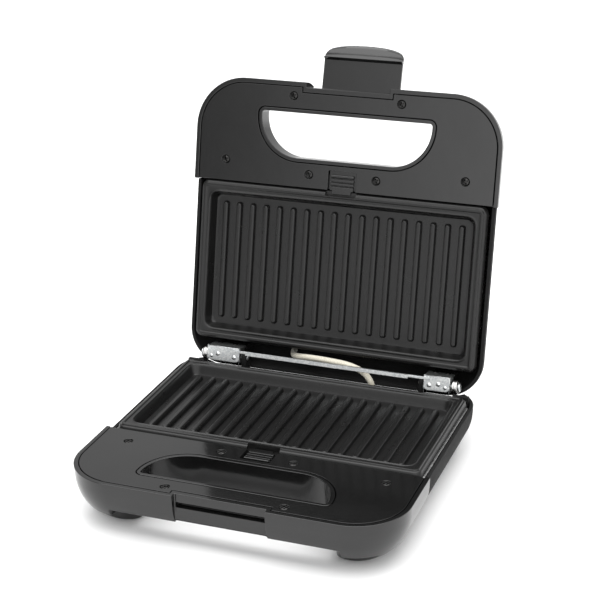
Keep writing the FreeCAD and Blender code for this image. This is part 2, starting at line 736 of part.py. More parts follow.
def heating_element(name):
    """Tubular heater bent into a U under the plate."""
    body = document.addObject("PartDesign::Body", name)
    route = sketch_in(body, name + "_route", offset="-element_depth")
    route.addGeometry(Part.LineSegment(VECTOR(-85, 35, 0), VECTOR(60, 35, 0)))
    circle = Part.Circle(VECTOR(60, 60, 0), Z_AXIS, 25)
    route.addGeometry(Part.ArcOfCircle(circle, -math.pi / 2, math.pi / 2))
    route.addGeometry(Part.LineSegment(VECTOR(60, 85, 0), VECTOR(-85, 85, 0)))
    route.addConstraint(Sketcher.Constraint("Tangent", 0, 2, 1, 1))
    route.addConstraint(Sketcher.Constraint("Tangent", 1, 2, 2, 1))
    route.addConstraint(Sketcher.Constraint("Horizontal", 0))
    route.addConstraint(Sketcher.Constraint("Horizontal", 2))
    datum(route, Sketcher.Constraint("DistanceX", -1, 1, 0, 1, -85), "start_across", "-element_end")
    datum(route, Sketcher.Constraint("DistanceY", -1, 1, 0, 1, 35), "start_back", "element_front")
    datum(route, Sketcher.Constraint("DistanceX", -1, 1, 2, 2, -85), "end_across", "-element_end")
    datum(route, Sketcher.Constraint("DistanceX", -1, 1, 1, 3, 60), "bend_across", "element_bend_across")
    datum(route, Sketcher.Constraint("Radius", 1, 25), "bend_radius", "element_bend_radius")
    section = sketch_in(body, name + "_section", "YZ_Plane", "-element_end")
    section.addGeometry(Part.Circle(VECTOR(35, -12, 0), Z_AXIS, 3))
    datum(section, Sketcher.Constraint("DistanceX", -1, 1, 0, 3, 35), "back", "element_front")
    datum(section, Sketcher.Constraint("DistanceY", -1, 1, 0, 3, -12), "depth", "-element_depth")
    datum(section, Sketcher.Constraint("Radius", 0, 3), "radius", "element_radius")
    document.recompute()
    pipe = body.newObject("PartDesign::AdditivePipe", name + "_tube")
    pipe.Profile = section
    pipe.Spine = route
    return body


# ---------------------------------------------------------------- electrical pieces

def thermostat(name):
    disc = rod(name + "_disc", ("0", "60", "-15"), "8", "6")
    flange = block(name + "_flange", ("-16", "57", "-16"), ("16", "63", "-15"))
    return fuse(name, [disc, flange])


def thermal_fuse(name):
    barrel = rod(name + "_barrel", ("-8", "60", "-12"), "2", "16", "x")
    leads = rod(name + "_leads", ("-24", "60", "-12"), "0.6", "48", "x")
    return fuse(name, [barrel, leads])


def terminal_block(name):
    block_body = block(name + "_body", ("-82", "-20", "-24.5"), ("-74", "-10", "-15"))
    ridges = [block(f"{name}_clamp{index}", (f"{-82 + 10 * index}", "-20", "-24.5"),
                    (f"{-75 + 10 * index}", "-10", "-13.5")) for index in range(3)]
    strip = block(name + "_strip", ("-82", "-19", "-24.5"), ("-55", "-11", "-16"))
    return fuse(name, [block_body, strip] + ridges)


def cord_gland(name):
    """Bushing in the back wall where the mains lead goes in."""
    neck = rod(name + "_neck", ("-55", "131", "-16.5"), "5", "9.5", "y")
    outer = rod(name + "_outer_flange", ("-55", "138.1", "-16.5"), "6.8", "2.4", "y")
    inner = rod(name + "_inner_flange", ("-55", "130", "-16.5"), "5.5", "1.6", "y")
    bore = rod(name + "_bore", ("-55", "129", "-16.5"), "3.5", "13", "y")
    return cut(name, fuse(name + "_solid", [neck, outer, inner]), [bore])


def lenses(name):
    pieces = []
    for side, across in both_sides("13"):
        barrel = rod(f"{name}_barrel_{side}", (across, "15", "-34.8"), "4", "3.3")
        collar = rod(f"{name}_collar_{side}", (across, "15", "-31.5"), "5", "1")
        pieces.append(fuse(f"{name}_{side}", [barrel, collar]))
    return group(name, pieces)


def neon_lamps(name):
    return group(name, [rod(f"{name}_{side}", (across, "15", "-30.4"), "2.6", "8.5")
                        for side, across in both_sides("13")])


def rubber_pads(name):
    places = [(across, back) for back in ("-front_pad_back", "rear_pad_back")
              for _, across in both_sides("pad_across")]
    return group(name, [rod(f"{name}{index}", (across, back, "-(base_depth + pad_height - pad_recess)"),
                            "pad_radius", "pad_height") for index, (across, back) in enumerate(places)])


# ---------------------------------------------------------------- hinge, modelled with the lid closed

def hinge_bracket(name, side):
    """Lid bracket: web below the pin, flange up the front, and an ear at each end."""
    inner, outer = "bracket_" + side, "bracket_outer"

    def across(low, high):
        return (low, high) if side == "right" else (f"-({high})", f"-({low})")

    reach = "hinge_back - bracket_reach"
    low = "-bracket_reach + 0.8"
    ends = across(inner, outer)
    web = block(name + "_web", (ends[0], reach, low), (ends[1], "hinge_back + 3.5", low + " + bracket_sheet"))
    flange = block(name + "_flange", (ends[0], reach, low), (ends[1], reach + " + bracket_sheet", "8"))
    ears = []
    for place, start, end in (("inner", inner, f"{inner} + bracket_sheet"),
                              ("outer", f"{outer} - bracket_sheet", outer)):
        limits = across(start, end)
        ears.append(block(f"{name}_{place}_ear", (limits[0], reach, low),
                          (limits[1], "hinge_back + 3.5", "3.5")))
    bore = rod(name + "_bore", ("-110", "hinge_back", "0"), "pin_radius + 0.12", "220", "x")
    holes = [rod(f"{name}_rivet_hole{index}", (str(offset), reach + " - 1", "6"), "1.3", "4", "y")
             for index, offset in enumerate(BRACKET_RIVETS[side])]
    return cut(name, fuse(name + "_solid", [web, flange] + ears), [bore] + holes)


def bracket_rivets(name):
    rivets = []
    reach = "hinge_back - bracket_reach"
    for index, offset in enumerate(BRACKET_RIVETS["left"] + BRACKET_RIVETS["right"]):
        shank = rod(f"{name}_shank{index}", (str(offset), reach + " - 0.2", "6"), "1.2", "4.6", "y")
        head = rod(f"{name}_head{index}", (str(offset), reach + " - 0.9", "6"), "2", "0.9", "y")
        rivets.append(fuse(f"{name}{index}", [shank, head]))
    return group(name, rivets)


def crossbar(name):
    """Flat strip that ties the two brackets together along the lid's back edge."""
    front = "hinge_back - bracket_reach + bracket_sheet"
    low = "-bracket_reach + 0.8 - bracket_sheet"
    strip = block(name + "_strip", ("-bar_left", front, low),
                  ("bar_right", front + " + 2", low + " + bracket_sheet"))
    middle = block(name + "_middle", ("-bar_middle_half_length", front, low),
                   ("bar_middle_half_length", front + " + 3.2", low + " + bracket_sheet"))
    return group(name, [fuse(name + "_solid", [strip, middle])])


def hinge_pins(name):
    """Pins from the base's ears outwards, each with a head that keeps its spring on."""
    pins = []
    for side, inner in (("right", "(ear_right - 0.7)"), ("left", "(ear_left - 0.7)")):
        start = inner if side == "right" else "-pin_outer"
        head = "pin_outer - pin_head" if side == "right" else "-pin_outer"
        shank = rod(f"{name}_shank_{side}", (start, "hinge_back", "hinge_height"), "pin_radius",
                    f"pin_outer - {inner}", "x")
        cap = rod(f"{name}_head_{side}", (head, "hinge_back", "hinge_height"),
                  "pin_head_radius", "pin_head", "x")
        pins.append(fuse(f"{name}_{side}", [shank, cap]))
    return group(name, pins)


def hinge_springs(name):
    springs = []
    for side, start in (("right", "bracket_outer + 0.4"), ("left", "-spring_outer")):
        place = (start, "hinge_back", "hinge_height")
        length = "spring_outer - bracket_outer - 0.4"
        outer = rod(f"{name}_outer_{side}", place, "spring_radius", length, "x")
        inner = rod(f"{name}_inner_{side}", place, "spring_radius - 1.2", length, "x")
        springs.append(cut(f"{name}_{side}", outer, [inner]))
    return group(name, springs)


# ---------------------------------------------------------------- latch, modelled hooked into the base

def latch_clip(name):
    """Bent clip: knuckle on the pin, panel down the front, hook, and a flared finger lip."""
    pivot = VECTOR(0, -size("latch_pivot_front"), -size("latch_pivot_depth"))
    half_width = size("latch_half_width")
    knuckle = size("latch_knuckle_radius")
    panel_front, panel_back = -74.9, -72.7
    hook_top, hook_bottom, hook_tip = 13.0, 15.1, -70.3
    lip_end, lip_front, lip_thickness = 24.6, -79.2, 1.9
    crown = pivot.z - knuckle
    bend = 4.0

    def at(y, z):
        return VECTOR(-half_width, y, z)

    slant = math.sqrt(0.5)
    outline = Part.Wire([
        Part.LineSegment(at(pivot.y, crown), at(panel_front + bend, crown)).toShape(),
        Part.Arc(at(panel_front + bend, crown),
                 at(panel_front + bend * (1 - slant), crown + bend * (1 - slant)),
                 at(panel_front, crown + bend)).toShape(),
        Part.LineSegment(at(panel_front, crown + bend), at(panel_front, hook_top)).toShape(),
        Part.Arc(at(panel_front, hook_top), at(panel_front - 1.0, 19.5), at(lip_front, lip_end)).toShape(),
        Part.LineSegment(at(lip_front, lip_end), at(lip_front + lip_thickness, lip_end)).toShape(),
        Part.Arc(at(lip_front + lip_thickness, lip_end), at(panel_back - 0.7, 19.5),
                 at(panel_back, hook_bottom)).toShape(),
        Part.LineSegment(at(panel_back, hook_bottom), at(hook_tip, hook_bottom)).toShape(),
        Part.LineSegment(at(hook_tip, hook_bottom), at(panel_back, hook_top)).toShape(),
        Part.LineSegment(at(panel_back, hook_top), at(panel_back, crown + bend)).toShape(),
        Part.LineSegment(at(panel_back, crown + bend), at(panel_back + 2.0, crown + 2.2)).toShape(),
        Part.LineSegment(at(panel_back + 2.0, crown + 2.2), at(pivot.y, crown + 2.2)).toShape(),
        Part.LineSegment(at(pivot.y, crown + 2.2), at(pivot.y, crown)).toShape(),
    ])
    strip = Part.Face(outline).extrude(VECTOR(2 * half_width, 0, 0))
    barrel = Part.makeCylinder(knuckle, 2 * half_width, at(pivot.y, pivot.z), X_AXIS)
    bore = Part.makeCylinder(size("latch_pin_radius") + 0.08, 2 * half_width + 2,
                             at(pivot.y, pivot.z) - X_AXIS, X_AXIS)
    crown_radius = 62.0
    corner_radius = 9.0
    dome = Part.makeCylinder(crown_radius, 40, VECTOR(0, -100, lip_end - crown_radius), Y_AXIS)
    solid = strip.fuse(barrel).cut(bore).common(dome)
    plan = Part.makeBox(2 * half_width, 40, 60, VECTOR(-half_width, -90, lip_end - 60))
    plan = plan.makeFillet(corner_radius, [edge for edge in plan.Edges
                                          if abs(edge.Vertexes[0].Y - edge.Vertexes[-1].Y) > 1
                                          and edge.CenterOfMass.z > 0])
    item = document.addObject("Part::Feature", name)
    item.Shape = solid.common(plan)
    return item


def latch_pin(name):
    start = ("-(notch_half_width + 1.8)", "-latch_pivot_front", "-latch_pivot_depth")
    return group(name, [rod(name + "_rod", start, "latch_pin_radius", "2 * (notch_half_width + 1.8)", "x")])


# ---------------------------------------------------------------- wire sleeve, modelled with the lid open

SLEEVE_ROUTE = [
    VECTOR(36, 127, -17), VECTOR(35.5, 127, -5), VECTOR(30, 127.4, 5), VECTOR(18, 128, 9.6),
    VECTOR(2, 129, 10.4), VECTOR(-14, 131.5, 9.6), VECTOR(-27, 137, 6.6), VECTOR(-34, 146, 3.6),
    VECTOR(-36, 157, 3),
]


def tangent_path(points):
    """Straight runs joined by tangent arcs, each as large as its two runs allow."""
    edges = []
    start = points[0]
    radii = []
    for before, corner, after in zip(points, points[1:], points[2:]):
        into = corner - before
        out = after - corner
        turn = into.getAngle(out)
        reach = 0.45 * min(into.Length, out.Length)
        into.normalize()
        out.normalize()
        radii.append(reach / math.tan(turn / 2))
        first = corner - into * reach
        last = corner + out * reach
        bisector = (out - into).normalize()
        centre = first + (bisector - into * bisector.dot(into)).normalize() * radii[-1]
        middle = centre + (corner - centre).normalize() * radii[-1]
        if (first - start).Length > 0.001:
            edges.append(Part.LineSegment(start, first).toShape())
        edges.append(Part.Arc(first, middle, last).toShape())
        start = last
    edges.append(Part.LineSegment(start, points[-1]).toShape())
    return Part.Wire(edges), radii


def wire_sleeve(name):
    """Glass-fibre sleeve with the lid's wires, from the base's floor up and back into the lid."""
    path, radii = tangent_path(SLEEVE_ROUTE)
    print("sleeve radii", [round(radius, 1) for radius in radii], "length", round(path.Length, 1))
    start = SLEEVE_ROUTE[0]
    circle = Part.Circle(start, SLEEVE_ROUTE[1] - start, size("sleeve_radius")).toShape()
    solid = path.makePipeShell([Part.Wire([circle])], True, False)
    expected = math.pi * size("sleeve_radius") ** 2 * path.Length
    if abs(solid.Volume - expected) > 0.02 * expected:
        raise SystemExit("the sleeve's volume is wrong")
    item = document.addObject("Part::Feature", name)
    item.Shape = solid
    return item


# ---------------------------------------------------------------- the assembly

stand = FreeCAD.Placement(
    VECTOR(0, -size("frame_shift"), size("base_depth") + size("pad_height") - size("pad_recess")),
    FreeCAD.Rotation())
hinge_point = VECTOR(0, size("hinge_back"), size("hinge_height"))
turn_over = FreeCAD.Placement(VECTOR(0, 0, 2 * size("hinge_height")), FreeCAD.Rotation(Y_AXIS, 180))
swing = FreeCAD.Placement(VECTOR(), FreeCAD.Rotation(X_AXIS, -size("open_angle")), hinge_point)
lid_place = stand.multiply(swing).multiply(turn_over)
bracket_place = stand.multiply(swing).multiply(
    FreeCAD.Placement(VECTOR(0, 0, size("hinge_height")), FreeCAD.Rotation()))
latch_point = VECTOR(0, -size("latch_pivot_front"), -size("latch_pivot_depth"))
latch_swing = FreeCAD.Placement(VECTOR(), FreeCAD.Rotation(X_AXIS, size("latch_open_angle")), latch_point)
latch_place = lid_place.multiply(latch_swing)

PIECES = [
    (base_front_cover(), stand),
    (base_rear_housing(), stand),
    (deck("base_deck"), stand),
    (deck_screws("base_deck_screws"), stand),
    (housing_screws("base_housing_screws", "belly_depth"), stand),
    (rubber_pads("rubber_feet"), stand),
    (grill_plate("lower_grill_plate"), stand),
    (reflector("lower_reflector"), stand),
    (heating_element("lower_heating_element"), stand),
    (plate_catch("lower_plate_catch"), stand),
    (catch_spring("lower_catch_spring"), stand),
    (thermal_fuse("thermal_fuse"), stand),
    (terminal_block("terminal_block"), stand),
    (cord_gland("cord_gland"), stand),
    (hinge_pins("hinge_pins"), stand),
    (hinge_springs("hinge_springs"), stand),
    (wire_sleeve("wire_sleeve"), stand),
    (front_cover("lid_front_cover", "lid_depth", "lid_depth - wall", False), lid_place),
    (lid_rear_housing(), lid_place),
    (deck("lid_deck"), lid_place),
    (deck_screws("lid_deck_screws"), lid_place),
    (housing_screws("lid_housing_screws", "lid_depth"), lid_place),
    (grill_plate("upper_grill_plate"), lid_place),
    (reflector("upper_reflector"), lid_place),
    (heating_element("upper_heating_element"), lid_place),
    (plate_catch("upper_plate_catch"), lid_place),
    (catch_spring("upper_catch_spring"), lid_place),
    (thermostat("thermostat"), lid_place),
    (neon_lamps("neon_lamps"), lid_place),
    (lenses("lamp_lenses"), lid_place),
    (latch_pin("latch_pin"), lid_place),
    (hinge_bracket("hinge_bracket_right", "right"), bracket_place),
    (hinge_bracket("hinge_bracket_left", "left"), bracket_place),
    (bracket_rivets("bracket_rivets"), bracket_place),
    (crossbar("hinge_crossbar"), bracket_place),
    (latch_clip("latch_clip"), latch_place),
]
document.recompute()
for piece, placement in PIECES:
    piece.Placement = placement.multiply(piece.Placement)
document.recompute()

for item in document.Objects:
    if "Invalid" in item.State or "Error" in item.State:
        raise SystemExit(f"{item.Label} failed: {item.State}")
os.makedirs("parts", exist_ok=True)
whole = FreeCAD.BoundBox()
for piece, _ in PIECES:
    shape = piece.Shape
    if shape.isNull() or not shape.isValid() or not shape.Solids:
        raise SystemExit(f"{piece.Label} has no valid solid")
    shape.exportStep(f"parts/{piece.Label}.step")
    whole.add(shape.BoundBox)
    print(f"{piece.Label:26s} solids {len(shape.Solids)}  volume {shape.Volume / 1000:8.2f} cm3")
limits = (whole.XMin, whole.XMax, whole.YMin, whole.YMax, whole.ZMin, whole.ZMax)
print("box", [round(value, 2) for value in limits])
print("hinge", stand.multVec(hinge_point), "latch", lid_place.multVec(latch_point))
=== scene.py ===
"""Looks of a contact grill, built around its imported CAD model.

Both halves are drawn alike in a half-shell frame: millimetres, X to the right, Y back from the plate's
front edge, Z up from the deck surface with the cooking side up.  One matrix stands the base on its feet
and another turns the lid over and opens it.
"""
import json
import math

import bmesh
import bpy
from mathutils import Matrix, Vector


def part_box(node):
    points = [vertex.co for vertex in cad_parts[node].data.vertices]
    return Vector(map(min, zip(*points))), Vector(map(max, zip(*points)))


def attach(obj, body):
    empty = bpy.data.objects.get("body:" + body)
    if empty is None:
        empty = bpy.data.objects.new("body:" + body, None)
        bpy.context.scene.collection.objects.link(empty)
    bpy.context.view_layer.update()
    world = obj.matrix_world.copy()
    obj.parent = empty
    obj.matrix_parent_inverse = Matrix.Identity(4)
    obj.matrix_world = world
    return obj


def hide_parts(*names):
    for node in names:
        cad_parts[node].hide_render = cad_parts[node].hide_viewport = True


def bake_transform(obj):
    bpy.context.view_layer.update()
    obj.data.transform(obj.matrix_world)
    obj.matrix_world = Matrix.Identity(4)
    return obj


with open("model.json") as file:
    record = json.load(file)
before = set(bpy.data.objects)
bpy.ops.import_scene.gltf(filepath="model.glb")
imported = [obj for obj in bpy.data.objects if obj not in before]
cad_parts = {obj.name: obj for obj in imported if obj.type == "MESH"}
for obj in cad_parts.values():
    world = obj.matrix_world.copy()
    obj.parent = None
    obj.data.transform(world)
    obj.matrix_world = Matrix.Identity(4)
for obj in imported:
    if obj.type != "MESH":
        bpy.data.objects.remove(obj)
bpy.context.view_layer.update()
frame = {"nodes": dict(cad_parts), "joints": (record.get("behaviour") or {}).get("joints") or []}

# ---------------------------------------------------------------- frames

JOINTS = {joint["name"]: joint for joint in frame["joints"]}
MM = 0.001


def turn(degrees, axis):
    return Matrix.Rotation(math.radians(degrees), 4, axis)


def shift(x, y, z):
    return Matrix.Translation((x, y, z))


def about(point, rotation):
    """Rotation about a point."""
    return shift(*point) @ rotation @ shift(*(-Vector(point)))


PLATE_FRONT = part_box("lower_grill_plate")[0].y
DECK_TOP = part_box("base_deck")[1].z
BASE = shift(0, PLATE_FRONT, DECK_TOP) @ Matrix.Scale(MM, 4)
HINGE = BASE.inverted() @ Vector(JOINTS["lid_hinge"]["pos_m"])
OPEN_ANGLE = JOINTS["lid_hinge"]["range_deg"][1]
SWUNG = BASE @ about(HINGE, turn(-OPEN_ANGLE, "X"))
LID = SWUNG @ shift(0, 0, 2 * HINGE.z) @ turn(180, "Y")
# The brackets are drawn with the lid closed, Z up from the hinge axis.
BRACKET = SWUNG @ shift(0, 0, HINGE.z)
PIVOT = LID.inverted() @ Vector(JOINTS["latch_hinge"]["pos_m"])
# The latch clip is drawn hooked into the base and turned back from there.
HOOKED_ANGLE = JOINTS["latch_hinge"]["range_deg"][1]
LATCH = LID @ about(PIVOT, turn(HOOKED_ANGLE, "X"))

# ---------------------------------------------------------------- sizes

COVER_HALF_WIDTH = 114.3
HOUSING_HALF_WIDTH = 112.5
FRONT_EDGE = -75.5
REAR_EDGE = 138.0
COVER_BACK = 0.5
HOUSING_FRONT = 0.8
FRONT_CORNER = 37.0
REAR_CORNER = 26.0
HOUSING_RIM = -3.0
BASE_DEPTH = 37.0
LID_DEPTH = 34.0
BELLY_DEPTH = 27.0
FOOT_INNER_X = 67.0
NOTCH_HALF_WIDTH = 31.0

HANDLE_HALF_WIDTH = 66.5
HANDLE_FRONT = -56.3
HANDLE_BACK = -18.0

SCREW_ROWS = ((90, -15.6), (40.2, -65.3), (25.3, -10))
SCREW_PLACES = [(x, y) for across, y in SCREW_ROWS for x in (across, -across)]
HOUSING_SCREWS_X = (-60, 60)
HOUSING_SCREWS_Y = 8

PLATE_HALF_WIDTH = 108
PLATE_LENGTH = 119
PLATE_RIM = 1.6
RECESS_HALF_WIDTH = 100.5
RECESS_FRONT = 8.0
RECESS_BACK = 111.0
RECESS_DEPTH = 7.1
RIB_COUNT = 18
FIRST_RIB = -89.5
RIB_PITCH = -2 * FIRST_RIB / (RIB_COUNT - 1)
RIB_FRONT = 17.8
RIB_BACK = 100.6
RIB_HALF_WIDTH = 2.35
RIB_HEIGHT = 3.0

LATCH_HALF_WIDTH = 29.6
KNUCKLE_RADIUS = 3.2

SHEET = 1.2
FLANGE_FRONT = HINGE.y - 7.5
BRACKET_BACK = HINGE.y + 3.5
WEB_LOW = -6.7
BRACKET_INNER = {1: 73.6, -1: 67.3}
BRACKET_OUTER = 92.8

GLAND_X = -55
GLAND_Z = -16.5

# Where cutters begin or end, well outside either half.
FAR_SIDE = 130
FAR_FRONT = -90
FAR_BELOW = -60

# ---------------------------------------------------------------- mesh tools


def mesh_object(name, vertices, faces):
    mesh = bpy.data.meshes.new(name)
    mesh.from_pydata([tuple(vertex) for vertex in vertices], [], faces)
    obj = bpy.data.objects.new(name, mesh)
    bpy.context.scene.collection.objects.link(obj)
    shape = bmesh.new()
    shape.from_mesh(mesh)
    bmesh.ops.remove_doubles(shape, verts=shape.verts, dist=1e-5)
    bmesh.ops.recalc_face_normals(shape, faces=shape.faces)
    shape.to_mesh(mesh)
    shape.free()
    return obj


def loft(name, rings):
    """Closed solid through rings with equally many points, with flat caps."""
    count = len(rings[0])
    vertices = [point for ring in rings for point in ring]
    faces = []
    for level in range(len(rings) - 1):
        low = level * count
        high = low + count
        for index in range(count):
            following = (index + 1) % count
            faces.append((low + index, low + following, high + following, high + index))
    faces.append(tuple(range(count)))
    faces.append(tuple(range(len(vertices) - count, len(vertices))))
    return mesh_object(name, vertices, faces)


def rounded_polygon(points, radii, segments=8):
    """Outline whose corners are rounded; a radius of 0 keeps the corner."""
    outline = []
    for index, radius in enumerate(radii):
        corner = Vector(points[index])
        if radius <= 0:
            outline.append((corner.x, corner.y))
            continue
        into = (corner - Vector(points[index - 1])).normalized()
        out = (Vector(points[(index + 1) % len(points)]) - corner).normalized()
        half_turn = into.angle(out) / 2
        start = corner - into * radius * math.tan(half_turn)
        centre = corner + (out - into).normalized() * radius / math.cos(half_turn)
        first = math.atan2(start.y - centre.y, start.x - centre.x)
        swing = math.copysign(2 * half_turn, into.x * out.y - into.y * out.x)
        for step in range(segments + 1):
            angle = first + swing * step / segments
            outline.append((centre.x + radius * math.cos(angle), centre.y + radius * math.sin(angle)))
    return outline


def rectangle(left, right, front, back, radius=0, segments=8):
    points = [(left, front), (right, front), (right, back), (left, back)]
    radii = radius if isinstance(radius, (list, tuple)) else [radius] * 4
    return rounded_polygon(points, radii, segments)


def prism(name, outline, low, high, axis="z"):
    """Solid of one outline, drawn in the plane across the axis, from low to high."""
    places = {
        "x": lambda point, level: (level, point[0], point[1]),
        "y": lambda point, level: (point[0], level, point[1]),
        "z": lambda point, level: (point[0], point[1], level),
    }[axis]
    return loft(name, [[places(point, level) for point in outline] for level in (low, high)])


def block(name, low, high):
    return prism(name, rectangle(low[0], high[0], low[1], high[1]), low[2], high[2])


def circle(radius, centre=(0, 0), segments=32):
    return [(centre[0] + radius * math.cos(2 * math.pi * step / segments),
             centre[1] + radius * math.sin(2 * math.pi * step / segments)) for step in range(segments)]


def lathe(name, profile, centre=(0, 0, 0), axis="z", segments=40):
    """Solid of revolution: profile of (radius, height) about an axis through the centre."""
    smallest_radius = 0.02
    offset = {
        "x": lambda across, along, height: (height, across, along),
        "y": lambda across, along, height: (along, height, across),
        "z": lambda across, along, height: (across, along, height),
    }[axis]
    rings = []
    for radius, height in profile:
        ring = circle(max(radius, smallest_radius), segments=segments)
        rings.append([tuple(Vector(centre) + Vector(offset(across, along, height)))
                      for across, along in ring])
    return loft(name, rings)


def apply_modifiers(obj):
    bpy.context.view_layer.update()
    evaluated = obj.evaluated_get(bpy.context.evaluated_depsgraph_get())
    mesh = bpy.data.meshes.new_from_object(evaluated)
    old = obj.data
    obj.modifiers.clear()
    obj.data = mesh
    bpy.data.meshes.remove(old)


def boolean(obj, other, operation="DIFFERENCE"):
    modifier = obj.modifiers.new("boolean", "BOOLEAN")
    modifier.operation = operation
    modifier.solver = "EXACT"
    modifier.object = other
    apply_modifiers(obj)
    bpy.data.objects.remove(other)


def join(obj, others):
    """Adds other meshes to this one as they are."""
    shape = bmesh.new()
    shape.from_mesh(obj.data)
    for other in others:
        shape.from_mesh(other.data)
        bpy.data.objects.remove(other)
    shape.to_mesh(obj.data)
    shape.free()
    return obj


def clean(obj):
    """Merges stray points that booleans leave and dissolves faces without area."""
    shape = bmesh.new()
    shape.from_mesh(obj.data)
    bmesh.ops.remove_doubles(shape, verts=shape.verts, dist=0.02)
    bmesh.ops.dissolve_degenerate(shape, edges=shape.edges, dist=0.01)
    shape.to_mesh(obj.data)
    shape.free()


def bevel(obj, width, segments=2, angle=32):
    clean(obj)
    modifier = obj.modifiers.new("bevel", "BEVEL")
    modifier.width = width
    modifier.segments = segments
    modifier.limit_method = "ANGLE"
    modifier.angle_limit = math.radians(angle)
    modifier.use_clamp_overlap = False
    modifier.miter_outer = "MITER_ARC"
    apply_modifiers(obj)
    return obj


def joined(name, pieces):
    """One object, under a new name, of several separate solids."""
    whole = join(pieces[0], pieces[1:])
    whole.name = name
    return whole


def place(obj, matrix, body, material, nodes=(), smooth=38):
    """Puts a finished mesh in its frame, shades it, and ties it to its body."""
    obj.data.transform(matrix)
    obj.data.materials.clear()
    obj.data.materials.append(material)
    for face in obj.data.polygons:
        face.use_smooth = True
    obj.data.set_sharp_from_angle(angle=math.radians(smooth))
    modifier = obj.modifiers.new("normals", "WEIGHTED_NORMAL")
    modifier.keep_sharp = True
    modifier.weight = 60
    apply_modifiers(obj)
    if nodes:
        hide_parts(*nodes)
    if body:
        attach(obj, body)


# ---------------------------------------------------------------- materials


class Finish:
    """Procedural material around one Principled shader."""

    def __init__(self, name, base, roughness, metallic=0.0, **sockets):
        self.material = bpy.data.materials.new(name)
        self.material.use_nodes = True
        self.tree = self.material.node_tree
        self.shader = self.tree.nodes["Principled BSDF"]
        self.shader.inputs["Base Color"].default_value = (*base, 1)
        self.shader.inputs["Roughness"].default_value = roughness
        self.shader.inputs["Metallic"].default_value = metallic
        for socket, value in sockets.items():
            self.shader.inputs[socket.replace("_", " ")].default_value = value
        self.place = self.node("ShaderNodeTexCoord").outputs["Object"]

    def node(self, kind, **inputs):
        node = self.tree.nodes.new(kind)
        for key, value in inputs.items():
            node.inputs[key].default_value = value
        return node

    def link(self, source, target):
        self.tree.links.new(source, target)

    def stretched(self, scale):
        mapping = self.node("ShaderNodeMapping", Scale=scale)
        self.link(self.place, mapping.inputs["Vector"])
        return mapping.outputs["Vector"]

    def noise(self, scale, detail=4.0, roughness=0.55, stretch=None):
        noise = self.node("ShaderNodeTexNoise", Scale=scale, Detail=detail, Roughness=roughness)
        self.link(self.stretched(stretch) if stretch else self.place, noise.inputs["Vector"])
        return noise.outputs["Fac"]

    def cells(self, scale, stretch=None):
        cells = self.node("ShaderNodeTexVoronoi", Scale=scale)
        self.link(self.stretched(stretch) if stretch else self.place, cells.inputs["Vector"])
        return cells

    def ramp(self, source, stops):
        ramp = self.node("ShaderNodeValToRGB")
        elements = ramp.color_ramp.elements
        while len(elements) < len(stops):
            elements.new(0.5)
        for element, (position, colour) in zip(elements, stops):
            element.position = position
            element.color = (*colour, 1)
        self.link(source, ramp.inputs["Fac"])
        return ramp.outputs["Color"]

    def between(self, source, low, high):
        scaled = self.node("ShaderNodeMapRange")
        scaled.inputs["To Min"].default_value = low
        scaled.inputs["To Max"].default_value = high
        self.link(source, scaled.inputs["Value"])
        return scaled.outputs["Result"]

    def colour(self, source, stops):
        self.link(self.ramp(source, stops), self.shader.inputs["Base Color"])

    def rough(self, source, low, high):
        self.link(self.between(source, low, high), self.shader.inputs["Roughness"])

    def bump(self, *layers):
        """Layers of (height source, strength, distance in metres)."""
        normal = None
        for source, strength, distance in layers:
            node = self.node("ShaderNodeBump", Strength=strength, Distance=distance)
            self.link(source, node.inputs["Height"])
            if normal:
                self.link(normal, node.inputs["Normal"])
            normal = node.outputs["Normal"]
        self.link(normal, self.shader.inputs["Normal"])


def grey(value, warmth=0.0):
    return (value * (1 + warmth), value, value * (1 - warmth))


def gloss_black_plastic():
    gloss = Finish("gloss_black_plastic", grey(0.006), 0.1, IOR=1.5)
    gloss.colour(gloss.noise(18), [(0.3, grey(0.0045)), (0.7, grey(0.0075))])
    gloss.rough(gloss.noise(55, 6, 0.65), 0.06, 0.16)
    gloss.bump((gloss.noise(420, 2), 0.05, 0.0002), (gloss.noise(60, 2), 0.04, 0.0008))
    return gloss.material


def matte_black_plastic():
    matte = Finish("matte_black_plastic", grey(0.014), 0.5, IOR=1.48, Specular_IOR_Level=0.1)
    matte.colour(matte.noise(25), [(0.3, grey(0.009)), (0.7, grey(0.014))])
    matte.rough(matte.noise(90, 5), 0.6, 0.78)
    grain = matte.cells(1500).outputs["Distance"]
    matte.bump((grain, 0.22, 0.00025), (matte.noise(2600, 3), 0.2, 0.0002))
    return matte.material


def nonstick_coating():
    pan = Finish("nonstick_coating", grey(0.026), 0.4, IOR=1.45, Specular_IOR_Level=0.42)
    speckle = [(0.35, grey(0.0045, 0.01)), (0.62, grey(0.0075, 0.01)), (0.8, grey(0.022))]
    pan.colour(pan.noise(1900, 3, 0.7), speckle)
    pan.rough(pan.noise(70, 5), 0.24, 0.34)
    pan.bump((pan.noise(2400, 4, 0.7), 0.25, 0.00015), (pan.noise(160, 3), 0.08, 0.0004))
    return pan.material


def zinc_plated_steel():
    zinc = Finish("zinc_plated_steel", grey(0.62), 0.3, 1.0)
    zinc.colour(zinc.cells(900).outputs["Color"], [(0.2, (0.5, 0.52, 0.53)), (0.8, (0.68, 0.69, 0.68))])
    zinc.rough(zinc.noise(700, 5), 0.22, 0.45)
    zinc.bump((zinc.noise(900, 4), 0.12, 0.0002))
    return zinc.material


def bright_spring_steel():
    steel = Finish("bright_spring_steel", grey(0.6), 0.22, 1.0)
    steel.colour(steel.noise(300), [(0.3, grey(0.5, 0.01)), (0.7, grey(0.66, 0.01))])
    steel.rough(steel.noise(500, 4), 0.14, 0.32)
    steel.bump((steel.noise(1200, 3, 0.6, (1, 6, 6)), 0.1, 0.0001))
    return steel.material


